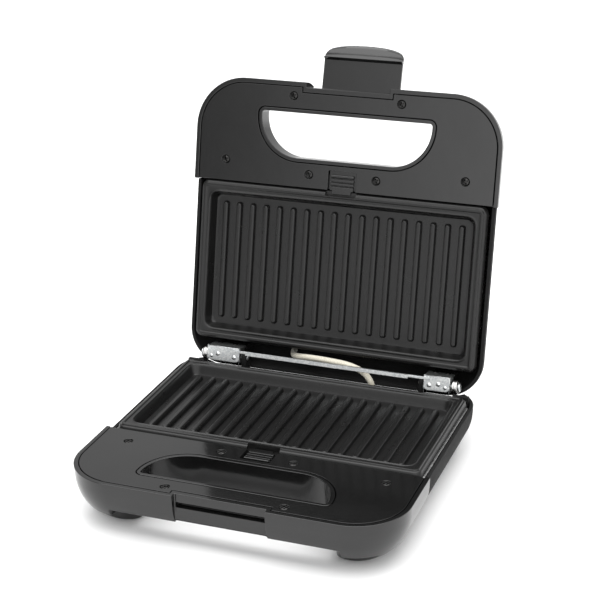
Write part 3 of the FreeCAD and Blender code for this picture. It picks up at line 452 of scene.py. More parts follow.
# Dark steel of the screws and rivets; on the catch springs it is painted shade.
def blackened_steel_and_painted_shade():
    screw = Finish("blackened_steel_and_painted_shade", grey(0.08), 0.3, 1.0)
    screw.colour(screw.noise(500), [(0.3, grey(0.02)), (0.75, grey(0.06, 0.02))])
    screw.rough(screw.noise(900, 4), 0.2, 0.42)
    screw.bump((screw.noise(1500, 3), 0.15, 0.0001))
    return screw.material


def grey_rubber():
    rubber = Finish("grey_rubber", grey(0.02), 0.75)
    rubber.colour(rubber.noise(200), [(0.3, grey(0.014)), (0.7, grey(0.026))])
    rubber.rough(rubber.noise(400, 4), 0.65, 0.85)
    rubber.bump((rubber.cells(1100).outputs["Distance"], 0.3, 0.0002))
    return rubber.material


def bright_aluminised_sheet():
    tray = Finish("bright_aluminised_sheet", grey(0.72), 0.25, 1.0)
    tray.colour(tray.cells(400).outputs["Color"], [(0.2, grey(0.6)), (0.8, grey(0.8))])
    tray.rough(tray.noise(300, 4), 0.18, 0.36)
    tray.bump((tray.noise(500, 3), 0.1, 0.0003))
    return tray.material


def heat_tinted_steel():
    heater = Finish("heat_tinted_steel", (0.22, 0.19, 0.16), 0.45, 1.0)
    tints = [(0.3, (0.12, 0.11, 0.1)), (0.55, (0.25, 0.2, 0.15)), (0.8, (0.2, 0.2, 0.24))]
    heater.colour(heater.noise(45, 4), tints)
    heater.rough(heater.noise(300, 4), 0.35, 0.6)
    heater.bump((heater.noise(900, 3), 0.15, 0.0002))
    return heater.material


def glazed_ceramic():
    ceramic = Finish("glazed_ceramic", (0.78, 0.75, 0.68), 0.35)
    ceramic.colour(ceramic.noise(150, 4), [(0.3, (0.7, 0.67, 0.6)), (0.7, (0.8, 0.78, 0.72))])
    ceramic.rough(ceramic.noise(300, 4), 0.25, 0.5)
    ceramic.bump((ceramic.noise(700, 3), 0.12, 0.0003))
    return ceramic.material


def satin_steel_case():
    case = Finish("satin_steel_case", grey(0.55), 0.35, 1.0)
    case.colour(case.noise(260, 4), [(0.3, grey(0.45)), (0.7, grey(0.6))])
    case.rough(case.noise(500, 4), 0.28, 0.45)
    case.bump((case.noise(1000, 3), 0.1, 0.0002))
    return case.material


def braided_glass_sleeve():
    sleeve = Finish("braided_glass_sleeve", (0.72, 0.69, 0.6), 0.7, Sheen_Weight=0.3)
    weave = sleeve.cells(1700, (1, 1.4, 1.4)).outputs["Distance"]
    sleeve.colour(weave, [(0.0, (0.8, 0.77, 0.68)), (0.6, (0.5, 0.47, 0.38))])
    sleeve.rough(sleeve.noise(900, 4), 0.6, 0.8)
    sleeve.bump((weave, -0.5, 0.0004), (sleeve.noise(2500, 3), 0.2, 0.0002))
    return sleeve.material


def neon_glass():
    glass = Finish("neon_glass", (0.95, 0.75, 0.6), 0.08, Transmission_Weight=0.9)
    glass.rough(glass.noise(200, 3), 0.04, 0.14)
    glass.bump((glass.noise(300, 2), 0.05, 0.0003))
    return glass.material


def red_lens_plastic():
    lens = Finish("red_lens_plastic", (0.35, 0.02, 0.012), 0.15, IOR=1.49)
    lens.colour(lens.noise(220, 3), [(0.3, (0.25, 0.012, 0.008)), (0.7, (0.42, 0.03, 0.018))])
    lens.rough(lens.noise(200, 3), 0.1, 0.22)
    lens.bump((lens.cells(700).outputs["Distance"], 0.25, 0.0003))
    return lens.material


FINISH = {
    "gloss": gloss_black_plastic(),
    "matte": matte_black_plastic(),
    "pan": nonstick_coating(),
    "zinc": zinc_plated_steel(),
    "steel": bright_spring_steel(),
    "screw": blackened_steel_and_painted_shade(),
    "rubber": grey_rubber(),
    "tray": bright_aluminised_sheet(),
    "heater": heat_tinted_steel(),
    "ceramic": glazed_ceramic(),
    "case": satin_steel_case(),
    "sleeve": braided_glass_sleeve(),
    "glass": neon_glass(),
    "lens": red_lens_plastic(),
}

# ---------------------------------------------------------------- shells


def front_plan(inset):
    """Outline of a front cover, moved inwards on its front and sides."""
    side = COVER_HALF_WIDTH - inset
    front = FRONT_EDGE + inset
    radius = FRONT_CORNER - inset
    points = [(-side, COVER_BACK), (-side, front), (side, front), (side, COVER_BACK)]
    return rounded_polygon(points, [0, radius, radius, 0], 28)


def rear_plan(inset, front=HOUSING_FRONT):
    """Outline of a rear housing, moved inwards on its sides and back."""
    side = HOUSING_HALF_WIDTH - inset
    back = REAR_EDGE - inset
    radius = max(REAR_CORNER - inset, 0.5)
    points = [(-side, front), (side, front), (side, back), (-side, back)]
    return rounded_polygon(points, [0, 0, radius, radius], 20)


def belly(top, start, drop, reach, draft, steps=14):
    """Profile of (inward distance, height): a drafted wall that rolls under into the belly."""
    profile = [(draft * -top, top)]
    for step in range(steps + 1):
        angle = math.pi / 2 * step / steps
        height = -(start + drop * math.sin(angle))
        profile.append((-draft * height + reach * (1 - math.cos(angle)), height))
    return profile


def at_height(outline, height):
    return [(x, y, height) for x, y in outline]


def handle_outline(margin, sides=0, back=0):
    """D of the handle opening, straight towards the front, let out at its sides and back."""
    front_radius = 5 + margin
    back_radius = 32 + margin + back
    across = HANDLE_HALF_WIDTH + margin + sides
    return rectangle(-across, across, HANDLE_FRONT - margin, HANDLE_BACK + margin + back,
                     [front_radius, front_radius, back_radius, back_radius], 20)


def deck_outline(inset, notch_half_width, notch_front, back):
    """Outline of the deck: the cover's plan with a notch for the latch in its front edge."""
    side = COVER_HALF_WIDTH - inset
    front = FRONT_EDGE + inset
    radius = FRONT_CORNER - inset
    points = [(-side, back), (-side, front), (-notch_half_width, front), (-notch_half_width, notch_front),
              (notch_half_width, notch_front), (notch_half_width, front), (side, front), (side, back)]
    return rounded_polygon(points, [0, radius, 0.6, 0.6, 0.6, 0.6, radius, 0], 28)


def around_feet(front, foot_front, foot_back, back, front_radius, back_radius):
    """Outline of everything under a half except its two feet, which stand out to the sides."""
    right = [(FAR_SIDE, front, 0), (FAR_SIDE, foot_front, 0), (FOOT_INNER_X, foot_front, front_radius),
             (FOOT_INNER_X, foot_back, back_radius), (FAR_SIDE, foot_back, 0), (FAR_SIDE, back, 0)]
    left = [(-x, y, radius) for x, y, radius in reversed(right)]
    corners = left[-1:] + right + left[:-1]
    return rounded_polygon([(x, y) for x, y, radius in corners], [radius for x, y, radius in corners])


def notch_outline(back, radius):
    """Outline of the latch's way into the front edge."""
    return rectangle(-NOTCH_HALF_WIDTH, NOTCH_HALF_WIDTH, FAR_FRONT, back, [0, 0, radius, radius])


def cut_base_underside(shell):
    """Frees the front feet, arches the front edge and cuts the slot for the latch's hook."""
    feet_gap = around_feet(FAR_FRONT, -57, -25, 5, 14, 10)
    boolean(shell, prism("underside", feet_gap, FAR_BELOW, -BELLY_DEPTH))
    boolean(shell, prism("arch", rectangle(-78, 78, FAR_FRONT, -56, [0, 0, 6, 6]), FAR_BELOW, -20.5))
    low = (-NOTCH_HALF_WIDTH, FAR_FRONT, FAR_BELOW)
    boolean(shell, block("notch_arch", low, (NOTCH_HALF_WIDTH, -69.3, -18.8)))
    boolean(shell, block("slot", (-30.3, -74, -9.5), (30.3, -67.3, -6)))


def front_cover(name, depth, is_base):
    """Front cover with the deck's recess, the handle opening and the latch's notch."""
    roll = 30
    profile = belly(0, depth - roll, roll, 27, 0.05)
    shell = loft(name, [at_height(front_plan(inset), height) for inset, height in profile])
    recess = prism("recess", deck_outline(3.2, 33.5, -68.3, 3), -4.5, 1)
    boolean(recess, prism("island", handle_outline(-0.4), -5, 2))
    boolean(shell, recess)
    boolean(shell, block("catch_well", (-13, -17.4, -8), (13, 3, 1)))
    if is_base:
        boolean(shell, prism("opening", handle_outline(-3), FAR_BELOW, 1))
    else:
        levels = [(1, 0, 0), (-13, 0, 0), (-14.5, 0.2, 0.1), (-16, 0.8, 0.4), (-36, 9, 5), (FAR_BELOW, 9, 5)]
        flare = [at_height(handle_outline(-3, sides, back), height) for height, sides, back in levels]
        boolean(shell, loft("opening", flare))
    boolean(shell, prism("notch", notch_outline(-71.8, 0.8), FAR_BELOW, 1))
    if is_base:
        cut_base_underside(shell)
    else:
        boolean(shell, prism("pocket", notch_outline(-56.6, 1.5), FAR_BELOW, -12.5))
    bevel(shell, 0.5)
    return shell


def rear_housing(name, depth, is_base):
    """Rear housing, hollow, with wells for its screws and, in the base, a floor between the feet."""
    wall = 2.5
    roll = 28
    reach = 26
    draft = 0.04
    start = depth - roll
    profile = belly(HOUSING_RIM, start, roll, reach, draft)
    shell = loft(name, [at_height(rear_plan(inset), height) for inset, height in profile])
    profile = belly(2, start, roll - wall, reach - wall, draft, 10)
    cavity = loft("cavity", [at_height(rear_plan(inset + wall, -6), height) for inset, height in profile])
    boolean(shell, cavity)
    bottom = -depth
    if is_base:
        bottom = -BELLY_DEPTH
        rear_cut = [(-101, -3.2), (-92, -8), (92, -8), (101, -3.2), (101, 10), (-101, 10)]
        boolean(shell, prism("rear_cut", rear_cut, 121, 200, "y"))
        boolean(shell, prism("underside", around_feet(-5, 93, 125, 160, 10, 10), FAR_BELOW, bottom))
        boolean(shell, block("floor", (-80, 3, bottom), (80, 120, bottom + wall)), "UNION")
        boolean(shell, lathe("gland_hole", [(5.1, 0), (5.1, 20)], (GLAND_X, 125, GLAND_Z), "y"))
    for x in HOUSING_SCREWS_X:
        well = [(3.2, -depth - 2), (3.2, bottom + 1.3)]
        boolean(shell, lathe("well", well, (x, HOUSING_SCREWS_Y, 0)))
    return shell


def ear_outline():
    """Ear of the base across X, as (y, z): a post with a round head on the hinge axis."""
    radius = 4
    foot = -25
    outline = [(HINGE.y - radius, foot), (HINGE.y + 2.5, foot), (HINGE.y + radius, HINGE.z)]
    for step in range(1, 17):
        angle = math.pi * step / 16
        outline.append((HINGE.y + radius * math.cos(angle), HINGE.z + radius * math.sin(angle)))
    return outline


def add_hinge_ears(housing):
    """Ears that hold the hinge pins, and a low wall behind each rear corner of the plate."""
    for ear_start, wall_start in ((69.2, 95.5), (-66.8, -107.4)):
        boolean(housing, prism("ear", ear_outline(), ear_start, ear_start + 3.6, "x"), "UNION")
        wall = block("corner_wall", (wall_start, 120.4, -20), (wall_start + 11.9, 123.4, 0.6))
        boolean(housing, wall, "UNION")


def add_bracket_bosses(housing):
    """Blocks inside the lid, turned over with it, that the bracket flanges are riveted to."""
    front = FLANGE_FRONT + SHEET
    for left, right in ((70, 91), (-91, -75.6)):
        boolean(housing, prism("boss", rectangle(left, right, front, front + 4), -26.5, -1), "UNION")


def make_shells():
    cover = front_cover("base_front_cover_shell", BASE_DEPTH, True)
    place(cover, BASE, "base", FINISH["gloss"], ["base_front_cover"])
    cover = front_cover("lid_front_cover_shell", LID_DEPTH, False)
    place(cover, LID, "lid", FINISH["gloss"], ["lid_front_cover"])
    housing = rear_housing("base_rear_housing_shell", BASE_DEPTH, True)
    add_hinge_ears(housing)
    bevel(housing, 0.4)
    place(housing, BASE, "base", FINISH["matte"], ["base_rear_housing"])
    housing = rear_housing("lid_rear_housing_shell", LID_DEPTH, False)
    add_bracket_bosses(housing)
    bevel(housing, 0.4)
    place(housing, LID, "lid", FINISH["matte"], ["lid_rear_housing"])


# ---------------------------------------------------------------- decks and screws


def make_deck(name, matrix, body, node):
    deck = prism(name, deck_outline(3.8, 34, -67.7, -0.4), -2, 0)
    boolean(deck, prism("opening", handle_outline(0.3), -5, 2))
    boolean(deck, prism("window", rectangle(-10.5, 10.5, -14.5, 3, [0.8, 0.8, 0, 0]), -5, 2))
    bore = 1.6
    sink = 3.2
    for x, y in SCREW_PLACES:
        boolean(deck, lathe("sink", [(bore, -3), (bore, -1.6), (sink, -0.9), (sink, 1)], (x, y, 0)))
    bevel(deck, 0.3)
    place(deck, matrix, body, FINISH["gloss"], [node])


def cross_screw(name, radius, centre, facing_down=False):
    """Countersunk screw head with a cross recess and the start of its shank."""
    shank = 1.4
    profile = [(shank, -9), (shank, -1.6), (radius, -0.7), (radius - 0.05, -0.45), (radius - 0.5, -0.05),
               (radius * 0.5, 0.1), (0.3, 0.14)]
    screw = lathe(name, profile)
    reach = radius * 0.72
    half_slot = 0.55
    for angle in (25, 115):
        bar = prism("bar", rectangle(-reach, reach, -half_slot, half_slot, 0.2, 3), -2.2, 1)
        bar.data.transform(turn(angle, "Z"))
        boolean(screw, bar)
    boolean(screw, lathe("dimple", [(0.1, -1.3), (0.75, -0.5), (0.8, 1)], segments=16))
    bevel(screw, 0.06, 1, 40)
    if facing_down:
        screw.data.transform(turn(180, "X"))
    screw.data.transform(shift(*centre))
    return screw


def make_screws():
    for half, matrix, body, floor in (("base", BASE, "base", BELLY_DEPTH), ("lid", LID, "lid", LID_DEPTH)):
        screws = [cross_screw("deck_screw", 2.7, (x, y, -0.35)) for x, y in SCREW_PLACES]
        whole = joined(f"{half}_deck_screw_set", screws)
        place(whole, matrix, body, FINISH["screw"], [f"{half}_deck_screws"])
        screws = [cross_screw("housing_screw", 2.9, (x, HOUSING_SCREWS_Y, -floor + 0.5), facing_down=True)
                  for x in HOUSING_SCREWS_X]
        whole = joined(f"{half}_housing_screw_set", screws)
        place(whole, matrix, body, FINISH["screw"], [f"{half}_housing_screws"])


# ---------------------------------------------------------------- grill plates

# Lines of the plate's grid: distances in from the recess outline, where its wall is steep, and
# distances from the middle of a rib.
WALL_LINES = (-0.6, -0.3, 0, 0.3, 0.7, 1.2, 1.9, 2.6, 3.4, 4.2, 5.5)
RIB_LINES = (-2.5, -2.35, -2.2, -1.9, -1.5, -1.0, -0.5, 0, 0.5, 1.0, 1.5, 1.9, 2.2, 2.35, 2.5)
GRID_HALF_WIDTH = 101.5
GRID_FRONT = 6.5

# The rim from below to the grid's edge, as (distance in from the plate's outline, height).
RIM_STEPS = [(0.1, -3), (0, -2.8), (0.1, -2.4), (1.1, 0.3), (1.35, 0.75), (1.7, 0.95), (2.2, 1.0), (2.4, 1.2),
             (2.5, 1.6), (2.65, 2.0), (3.0, 2.2), (4.3, 2.2), (4.6, 2.1), (4.85, 1.75), (5.1, PLATE_RIM),
             (6.4, PLATE_RIM)]


def smooth_step(value):
    value = min(max(value, 0.0), 1.0)
    return value * value * (3 - 2 * value)


def rib_middle(index):
    return FIRST_RIB + index * RIB_PITCH


def plate_height(x, y):
    """Height of the plate's top at a point: inner rim, recess wall, floor and ribs."""
    radius = 7.0
    across = abs(x) - (RECESS_HALF_WIDTH - radius)
    along = max(RECESS_FRONT + radius - y, y - (RECESS_BACK - radius))
    if across > 0 and along > 0:
        outside = math.hypot(across, along) - radius
    else:
        outside = max(across, along) - radius
    height = PLATE_RIM - RECESS_DEPTH * smooth_step((-outside - 0.2) / 3.4)
    height += 0.35 * math.exp(-((outside - 0.25) / 0.45) ** 2)
    nearest = min(max(round((x - FIRST_RIB) / RIB_PITCH), 0), RIB_COUNT - 1)
    beyond = max(RIB_FRONT - y, y - RIB_BACK, 0)
    distance = math.hypot(x - rib_middle(nearest), beyond)
    if distance < RIB_HALF_WIDTH:
        height += RIB_HEIGHT * min(1.0, 1.22 * math.sqrt(1 - (distance / RIB_HALF_WIDTH) ** 2))
    return height


def plate_grid(name):
    """Sheet with the recess and its ribs, its lines close together where the height changes."""
    innermost = RECESS_HALF_WIDTH - 7
    edge = [GRID_HALF_WIDTH] + [RECESS_HALF_WIDTH - line for line in WALL_LINES] + [innermost]
    columns = edge + [-x for x in edge]
    for index in range(RIB_COUNT):
        columns += [rib_middle(index) + line for line in RIB_LINES]
    columns.sort()
    wall_rows = [GRID_FRONT] + [RECESS_FRONT + line for line in WALL_LINES]
    rib_rows = [RIB_FRONT - line for line in RIB_LINES if line >= 0]
    rows = wall_rows + [PLATE_LENGTH - y for y in wall_rows]
    rows += rib_rows + [RIB_FRONT + RIB_BACK - y for y in rib_rows]
    rows += [25 + 10 * step for step in range(8)]
    rows.sort()
    wide = len(columns)
    faces = [(corner, corner + 1, corner + wide + 1, corner + wide)
             for corner in range(wide * (len(rows) - 1)) if (corner + 1) % wide]
    return mesh_object(name, [(x, y, plate_height(x, y)) for y in rows for x in columns], faces)


def plate_outline(inset):
    side = PLATE_HALF_WIDTH - inset
    return rectangle(-side, side, inset, PLATE_LENGTH - inset, max(6 - inset, 0.3), 12)


def grill_plate(name):
    """Cast plate: a grid for the recess and ribs, a stepped rim around it and a plain tub below."""
    plate = plate_grid(name)
    rim = loft("rim", [at_height(plate_outline(inset), height) for inset, height in RIM_STEPS])
    boolean(rim, prism("tub", rectangle(-104, 104, 4, 115, 8.4, 8), -8.5, -1), "UNION")
    hole_back = PLATE_LENGTH - GRID_FRONT
    boolean(rim, block("hole", (-GRID_HALF_WIDTH, GRID_FRONT, -7.5), (GRID_HALF_WIDTH, hole_back, 5)))
    boolean(rim, prism("catch_step", rectangle(-11.5, 11.5, -3, 3.6, [0, 0, 1.2, 1.2]), -1.6, 5))
    return join(plate, [rim])


def make_plates():
    for name, matrix, body, node in (("lower_ribbed_plate", BASE, "base", "lower_grill_plate"),
                                     ("upper_ribbed_plate", LID, "lid", "upper_grill_plate")):
        place(grill_plate(name), matrix, body, FINISH["pan"], [node], smooth=40)


def make_tray_edge():
    """Bright flange of the lower tray, which shows along both sides of the lower plate."""
    steps = ((-0.9, -4.1), (-1.1, -3.95), (-1.1, -3.5), (-0.9, -3.35), (0.6, -3.3))
    rings = []
    for inset, height in steps:
        side = PLATE_HALF_WIDTH - inset
        rings.append(at_height(rectangle(-side, side, 5, 113, 1, 4), height))
    edge = loft("lower_tray_edge", rings)
    boolean(edge, block("inside", (-106.8, 0, -8), (106.8, PLATE_LENGTH, 5)))
    place(edge, BASE, "base", FINISH["tray"], [], smooth=40)


# ---------------------------------------------------------------- plate catches

# Section of a catch across X, as (y, z): a pad with three finger grooves, and the nose over the plate.
CATCH_PROFILE = [(-11.6, -2.6), (-11.6, -0.75), (-11.2, -0.35), (-9.9, -0.35), (-9.5, -0.8), (-9.3, -1.9),
                 (-8.7, -1.9), (-8.5, -0.8), (-6.7, -0.7), (-6.4, -1.8), (-5.9, -1.8), (-5.6, -0.75),
                 (-4.1, -0.7), (-3.8, -1.8), (-3.3, -1.8), (-3.0, -0.65), (-1.5, -0.45), (2.1, -0.45),
                 (2.4, -0.7), (2.4, -1.35), (-0.4, -1.45), (-0.8, -2.6)]


def plate_catch(name):
    catch = prism(name, CATCH_PROFILE, -8.6, 8.6, "x")
    for left, right in ((-9, -7), (7, 9)):
        boolean(catch, block("nose_side", (left, -0.4, -3), (right, 5, 1)))
    bevel(catch, 0.18)
    slide = block("slide", (-12, -11.6, -6.5), (12, -0.8, -2.4))
    bevel(slide, 0.3)
    ledge = block("ledge", (-9.9, -14.9, -2.6), (9.9, -11.2, -2.15))
    bevel(ledge, 0.1)
    return join(catch, [slide, ledge])


def make_catches():
    for name, matrix, body, node in (("lower_plate_catch_block", BASE, "lower_catch", "lower_plate_catch"),
                                     ("upper_plate_catch_block", LID, "upper_catch", "upper_plate_catch")):
        place(plate_catch(name), matrix, body, FINISH["gloss"], [node])


# ---------------------------------------------------------------- latch

# Reach of the finger lip beyond the crease, by distance from the middle.
LIP_REACHES = [(0, 9.9), (8, 9.75), (14, 9.3), (19, 8.6), (22, 7.9), (25, 7.0), (27, 5.9), (28.4, 4.7),
               (29.2, 3.4), (LATCH_HALF_WIDTH, 2.3)]


def lip_reach(x):
    """How far the finger lip runs beyond the crease at a distance from the middle."""
    for (near, high), (far, low) in zip(LIP_REACHES, LIP_REACHES[1:]):
        if abs(x) <= far:
            return high + (low - high) * (abs(x) - near) / (far - near)
    return LIP_REACHES[-1][1]


def latch_profile(x):
    """Closed section of the clip across X, hooked into the base, as (y, z)."""
    crease = 14.7
    front, back = -74.9, -72.7
    bend = 4
    lean, rise = 4.3, 12.6
    lip_start = 12.0
    inner_start = 15.4
    steps = 8
    crown = PIVOT.z - KNUCKLE_RADIUS
    tip_z = crease + lip_reach(x)
    outer = [(PIVOT.y, crown), (front + bend, crown)]
    for step in range(1, steps + 1):
        angle = math.pi / 2 * step / steps
        outer.append((front + bend - bend * math.sin(angle), crown + bend - bend * math.cos(angle)))
    outer += [(front, 0.0), (front, 10.0)]
    for step in range(1, steps + 1):
        height = lip_start + (tip_z - 0.6 - lip_start) * step / steps
        outer.append((front - lean * (max(height - lip_start, 0) / rise) ** 1.4, height))
    tip_y = outer[-1][0]
    edge = [(tip_y + 0.25, tip_z - 0.15), (tip_y + 0.95, tip_z), (tip_y + 1.65, tip_z - 0.2),
            (tip_y + 1.9, tip_z - 0.7)]
    inner = []
    for step in range(1, steps):
        height = inner_start + (tip_z - 0.7 - inner_start) * (1 - step / steps)
        inner.append((back - lean * (max(height - 14.2, 0) / rise) ** 1.3, height))
    hook = [(back + 0.1, 15.1), (-70.5, 15.1), (-70.3, 14.9), (-70.4, 14.6), (back, 12.9)]
    rest = [(back, 10.0), (back, 0.0), (back, crown + bend), (back + 0.5, crown + 2.9),
            (back + 2, crown + 2.2), (PIVOT.y, crown + 2.2)]
    return outer + edge + inner + hook + rest


def latch_knuckle(left, right):
    axis = (PIVOT.y, PIVOT.z)
    knuckle = prism("knuckle", circle(KNUCKLE_RADIUS, axis, 36), left, right, "x")
    boolean(knuckle, prism("bore", circle(1.58, axis, 24), left - 1, right + 1, "x"))
    return bevel(knuckle, 0.3)


def make_latch():
    columns = [0, 5, 10, 14, 17, 19.5, 22, 24, 25.6, 27, 28, 28.8, 29.3, LATCH_HALF_WIDTH]
    columns = sorted([-x for x in columns[1:]] + columns)
    clip = loft("latch_clip_shell", [[(x, y, z) for y, z in latch_profile(x)] for x in columns])
    bevel(clip, 0.25, 2, 50)
    spans = ((-LATCH_HALF_WIDTH, -12), (-10, 10), (12, LATCH_HALF_WIDTH))
    join(clip, [latch_knuckle(left, right) for left, right in spans])
    place(clip, LATCH, "latch", FINISH["gloss"], ["latch_clip"])


def make_latch_pin():
    end = 32.8
    profile = [(1.1, -end), (1.5, -end + 0.4), (1.5, end - 0.4), (1.1, end)]
    pin = lathe("latch_pin_rod", profile, (0, PIVOT.y, PIVOT.z), "x")
    place(pin, LID, "lid", FINISH["zinc"], ["latch_pin"])


# ---------------------------------------------------------------- hinge


def make_bracket(name, side):
    """Sheet bracket: a web, a flange riveted to the lid, and an ear at each end on the pin."""
    def across(low, high):
        return (low, high) if side > 0 else (-high, -low)

    inner = BRACKET_INNER[side]
    low, high = across(inner, BRACKET_OUTER)
    web_outline = rectangle(low, high, FLANGE_FRONT, BRACKET_BACK, [1.2, 1.2, 3.6, 3.6], 8)
    web = prism(name, web_outline, WEB_LOW, WEB_LOW + SHEET)
    flange_outline = rectangle(low, high, WEB_LOW, 8, [0.3, 0.3, 2, 2], 6)
    boolean(web, prism("flange", flange_outline, FLANGE_FRONT, FLANGE_FRONT + SHEET, "y"), "UNION")
    ear_outline = rectangle(FLANGE_FRONT, BRACKET_BACK, WEB_LOW, 3.5, [0.3, 3.4, 3.4, 1.5], 8)
    for start in (inner, BRACKET_OUTER - SHEET):
        first, last = across(start, start + SHEET)
        boolean(web, prism("ear", ear_outline, first, last, "x"), "UNION")
    boolean(web, lathe("bore", [(2.12, -200), (2.12, 200)], (0, HINGE.y, 0), "x"))
    bevel(web, 0.35, 3)
    bumps = []
    for x, y, radius in ((89.6, 0.2, 1.5), (84.5, -1.8, 1.8), (inner + 4.2, -0.4, 1.8)):
        profile = [(radius, 0.6), (radius * 0.92, -0.1), (radius * 0.62, -0.5), (radius * 0.2, -0.65)]
        bumps.append(lathe("bump", profile, (side * x, HINGE.y + y, WEB_LOW), segments=20))
    return join(web, bumps)


def make_brackets():
    for side, word in ((1, "right"), (-1, "left")):
        place(make_bracket(f"hinge_bracket_{word}_sheet", side), BRACKET, "lid", FINISH["zinc"],
              [f"hinge_bracket_{word}"])


def make_crossbar():
    """Flat strip between the brackets, wider along its middle."""
    low = WEB_LOW - SHEET
    front = HINGE.y - 6.3
    bar = prism("crossbar_strip", rectangle(-73, 77.5, front, HINGE.y - 4.3, 0.5, 3), low, WEB_LOW)
    wide = prism("wide", rectangle(-62.4, 62.4, front, HINGE.y - 3.1, 0.5, 3), low, WEB_LOW)
    boolean(bar, wide, "UNION")
    bevel(bar, 0.25)
    place(bar, BRACKET, "lid", FINISH["zinc"], ["hinge_crossbar"])


def make_rivets():
    face = FLANGE_FRONT
    profile = [(0.3, face - 0.88), (1.3, face - 0.7), (1.9, face - 0.2), (2, face), (1.2, face + 0.1),
               (1.2, face + 4)]
    rivets = [lathe("rivet", profile, (x, 0, 6), "y", 24) for x in (-88, -76, 79, 88)]
    whole = joined("bracket_rivet_set", rivets)
    place(whole, BRACKET, "lid", FINISH["screw"], ["bracket_rivets"])


def make_hinge_pins():
    pins = []
    for side, inner in ((1, 68.5), (-1, 62.5)):
        profile = [(1.5, inner), (2, inner + 0.5), (2, 98), (3.2, 98.05), (3.4, 98.3), (3.4, 98.8),
                   (2.9, 99.15), (0.4, 99.2)]
        profile = [(radius, side * x) for radius, x in profile]
        pins.append(lathe("pin", profile, (0, HINGE.y, HINGE.z), "x", 28))
    place(joined("hinge_pin_pair", pins), BASE, "base", FINISH["zinc"], ["hinge_pins"])


def tube(name, points, radius, segments=12):
    """Round tube along points, with a frame carried along so that it doesn't twist."""
    rings = []
    normal = None
    for index, point in enumerate(points):
        ahead = points[min(index + 1, len(points) - 1)] - points[max(index - 1, 0)]
        ahead = ahead.normalized()
        if normal is None:
            normal = ahead.orthogonal().normalized()
        normal = (normal - ahead * normal.dot(ahead)).normalized()
        side = ahead.cross(normal)
        rings.append([tuple(point + normal * across + side * along)
                      for across, along in circle(radius, segments=segments)])
    return loft(name, rings)


def coil(start, end, radius, wire, turns, legs):
    """Coil of round wire about the hinge axis, with straight legs at both ends."""
    steps = 22
    total = turns * steps
    points = []
    for step in range(total + 1):
        angle = 2 * math.pi * step / steps
        x = start + (end - start) * step / total
        points.append(Vector((x, HINGE.y + radius * math.cos(angle), HINGE.z + radius * math.sin(angle))))
    first = (points[0] - points[1]).normalized()
    last = (points[-1] - points[-2]).normalized()
    return tube("coil", [points[0] + first * legs[0]] + points + [points[-1] + last * legs[1]], wire)


def make_springs():
    coils = [coil(side * 93.9, side * 97.3, 4.3, 0.7, 3, (1.0, 0.2)) for side in (1, -1)]
    whole = joined("hinge_spring_coils", coils)
    place(whole, BASE, "base", FINISH["steel"], ["hinge_springs"], smooth=60)


# ---------------------------------------------------------------- wire sleeve

SLEEVE_ROUTE = [(36, 127, -17), (35.5, 127, -5), (30, 127.4, 5), (18, 128, 9.6), (2, 129, 10.4),
                (-14, 131.5, 9.6), (-27, 137, 6.6), (-34, 146, 3.6), (-36, 157, 3)]
SLEEVE_RADIUS = 2.2


def smooth_line(route):
    """Points of a smooth curve that a route of control points pulls along."""
    curve = bpy.data.curves.new("line", "CURVE")
    curve.dimensions = "3D"
    curve.resolution_u = 10
    spline = curve.splines.new("NURBS")
    spline.points.add(len(route) - 1)
    for point, place_mm in zip(spline.points, route):
        point.co = (*place_mm, 1)
    spline.order_u = 3
    spline.use_endpoint_u = True
    line = bpy.data.objects.new("line", curve)
    bpy.context.scene.collection.objects.link(line)
    bpy.context.view_layer.update()
    mesh = bpy.data.meshes.new_from_object(line.evaluated_get(bpy.context.evaluated_depsgraph_get()))
    points = [vertex.co.copy() for vertex in mesh.vertices]
    bpy.data.objects.remove(line)
    bpy.data.meshes.remove(mesh)
    return points


def make_sleeve():
    sleeve = tube("glass_fibre_sleeve", smooth_line(SLEEVE_ROUTE), SLEEVE_RADIUS, 24)
    place(sleeve, BASE, None, FINISH["sleeve"], ["wire_sleeve"], smooth=60)
    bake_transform(sleeve)


# ---------------------------------------------------------------- feet, gland, lenses


def make_feet():
    profile = [(6.2, -36.02), (7, -36.1), (7, -37.6), (6.6, -38), (3.2, -38), (2.8, -37.7), (0.3, -37.6)]
    feet = [lathe("foot", profile, (x, y, 0)) for x in (-76, 76) for y in (-35, 110)]
    place(joined("rubber_foot_set", feet), BASE, "base", FINISH["rubber"], ["rubber_feet"])


def make_gland():
    profile = [(5.5, 130), (5.5, 131.4), (5, 131.6), (5, 138.1), (6.8, 138.15), (6.8, 139.2), (6.4, 139.8),
               (4.6, 140.4), (3.6, 140.5)]
    gland = lathe("cord_gland_bush", profile, (GLAND_X, 0, GLAND_Z), "y")
    boolean(gland, lathe("bore", [(3.5, 120), (3.5, 150)], (GLAND_X, 0, GLAND_Z), "y"))
    place(gland, BASE, "base", FINISH["rubber"], ["cord_gland"])


def make_lenses():
    profile = [(5, -30.5), (5, -31.4), (4, -31.6), (4, -34.2), (3.6, -34.55), (2, -34.75), (0.3, -34.8)]
    lenses = [lathe("lens", profile, (x, 15, 0)) for x in (-13, 13)]
    place(joined("lamp_lens_pair", lenses), LID, "lid", FINISH["lens"], ["lamp_lenses"])


# CAD pieces inside the housings, which stay as they are and only get a finish. The catch springs get the dark
# screw finish as painted shade, which darkens them where they show in the deck's catch window.
CAD_FINISHES = {
    "lower_reflector": "tray",
    "upper_reflector": "tray",
    "lower_heating_element": "heater",
    "upper_heating_element": "heater",
    "thermostat": "case",
    "thermal_fuse": "case",
    "terminal_block": "ceramic",
    "neon_lamps": "glass",
    # Painted shade: the dark screw finish stands in for the shadow over the catch springs.
    "lower_catch_spring": "screw",
    "upper_catch_spring": "screw",
}


def finish_cad_nodes():
    for node, finish in CAD_FINISHES.items():
        for slot in frame["nodes"][node].material_slots:
            slot.material = FINISH[finish]


# ---------------------------------------------------------------- camera, light, floor


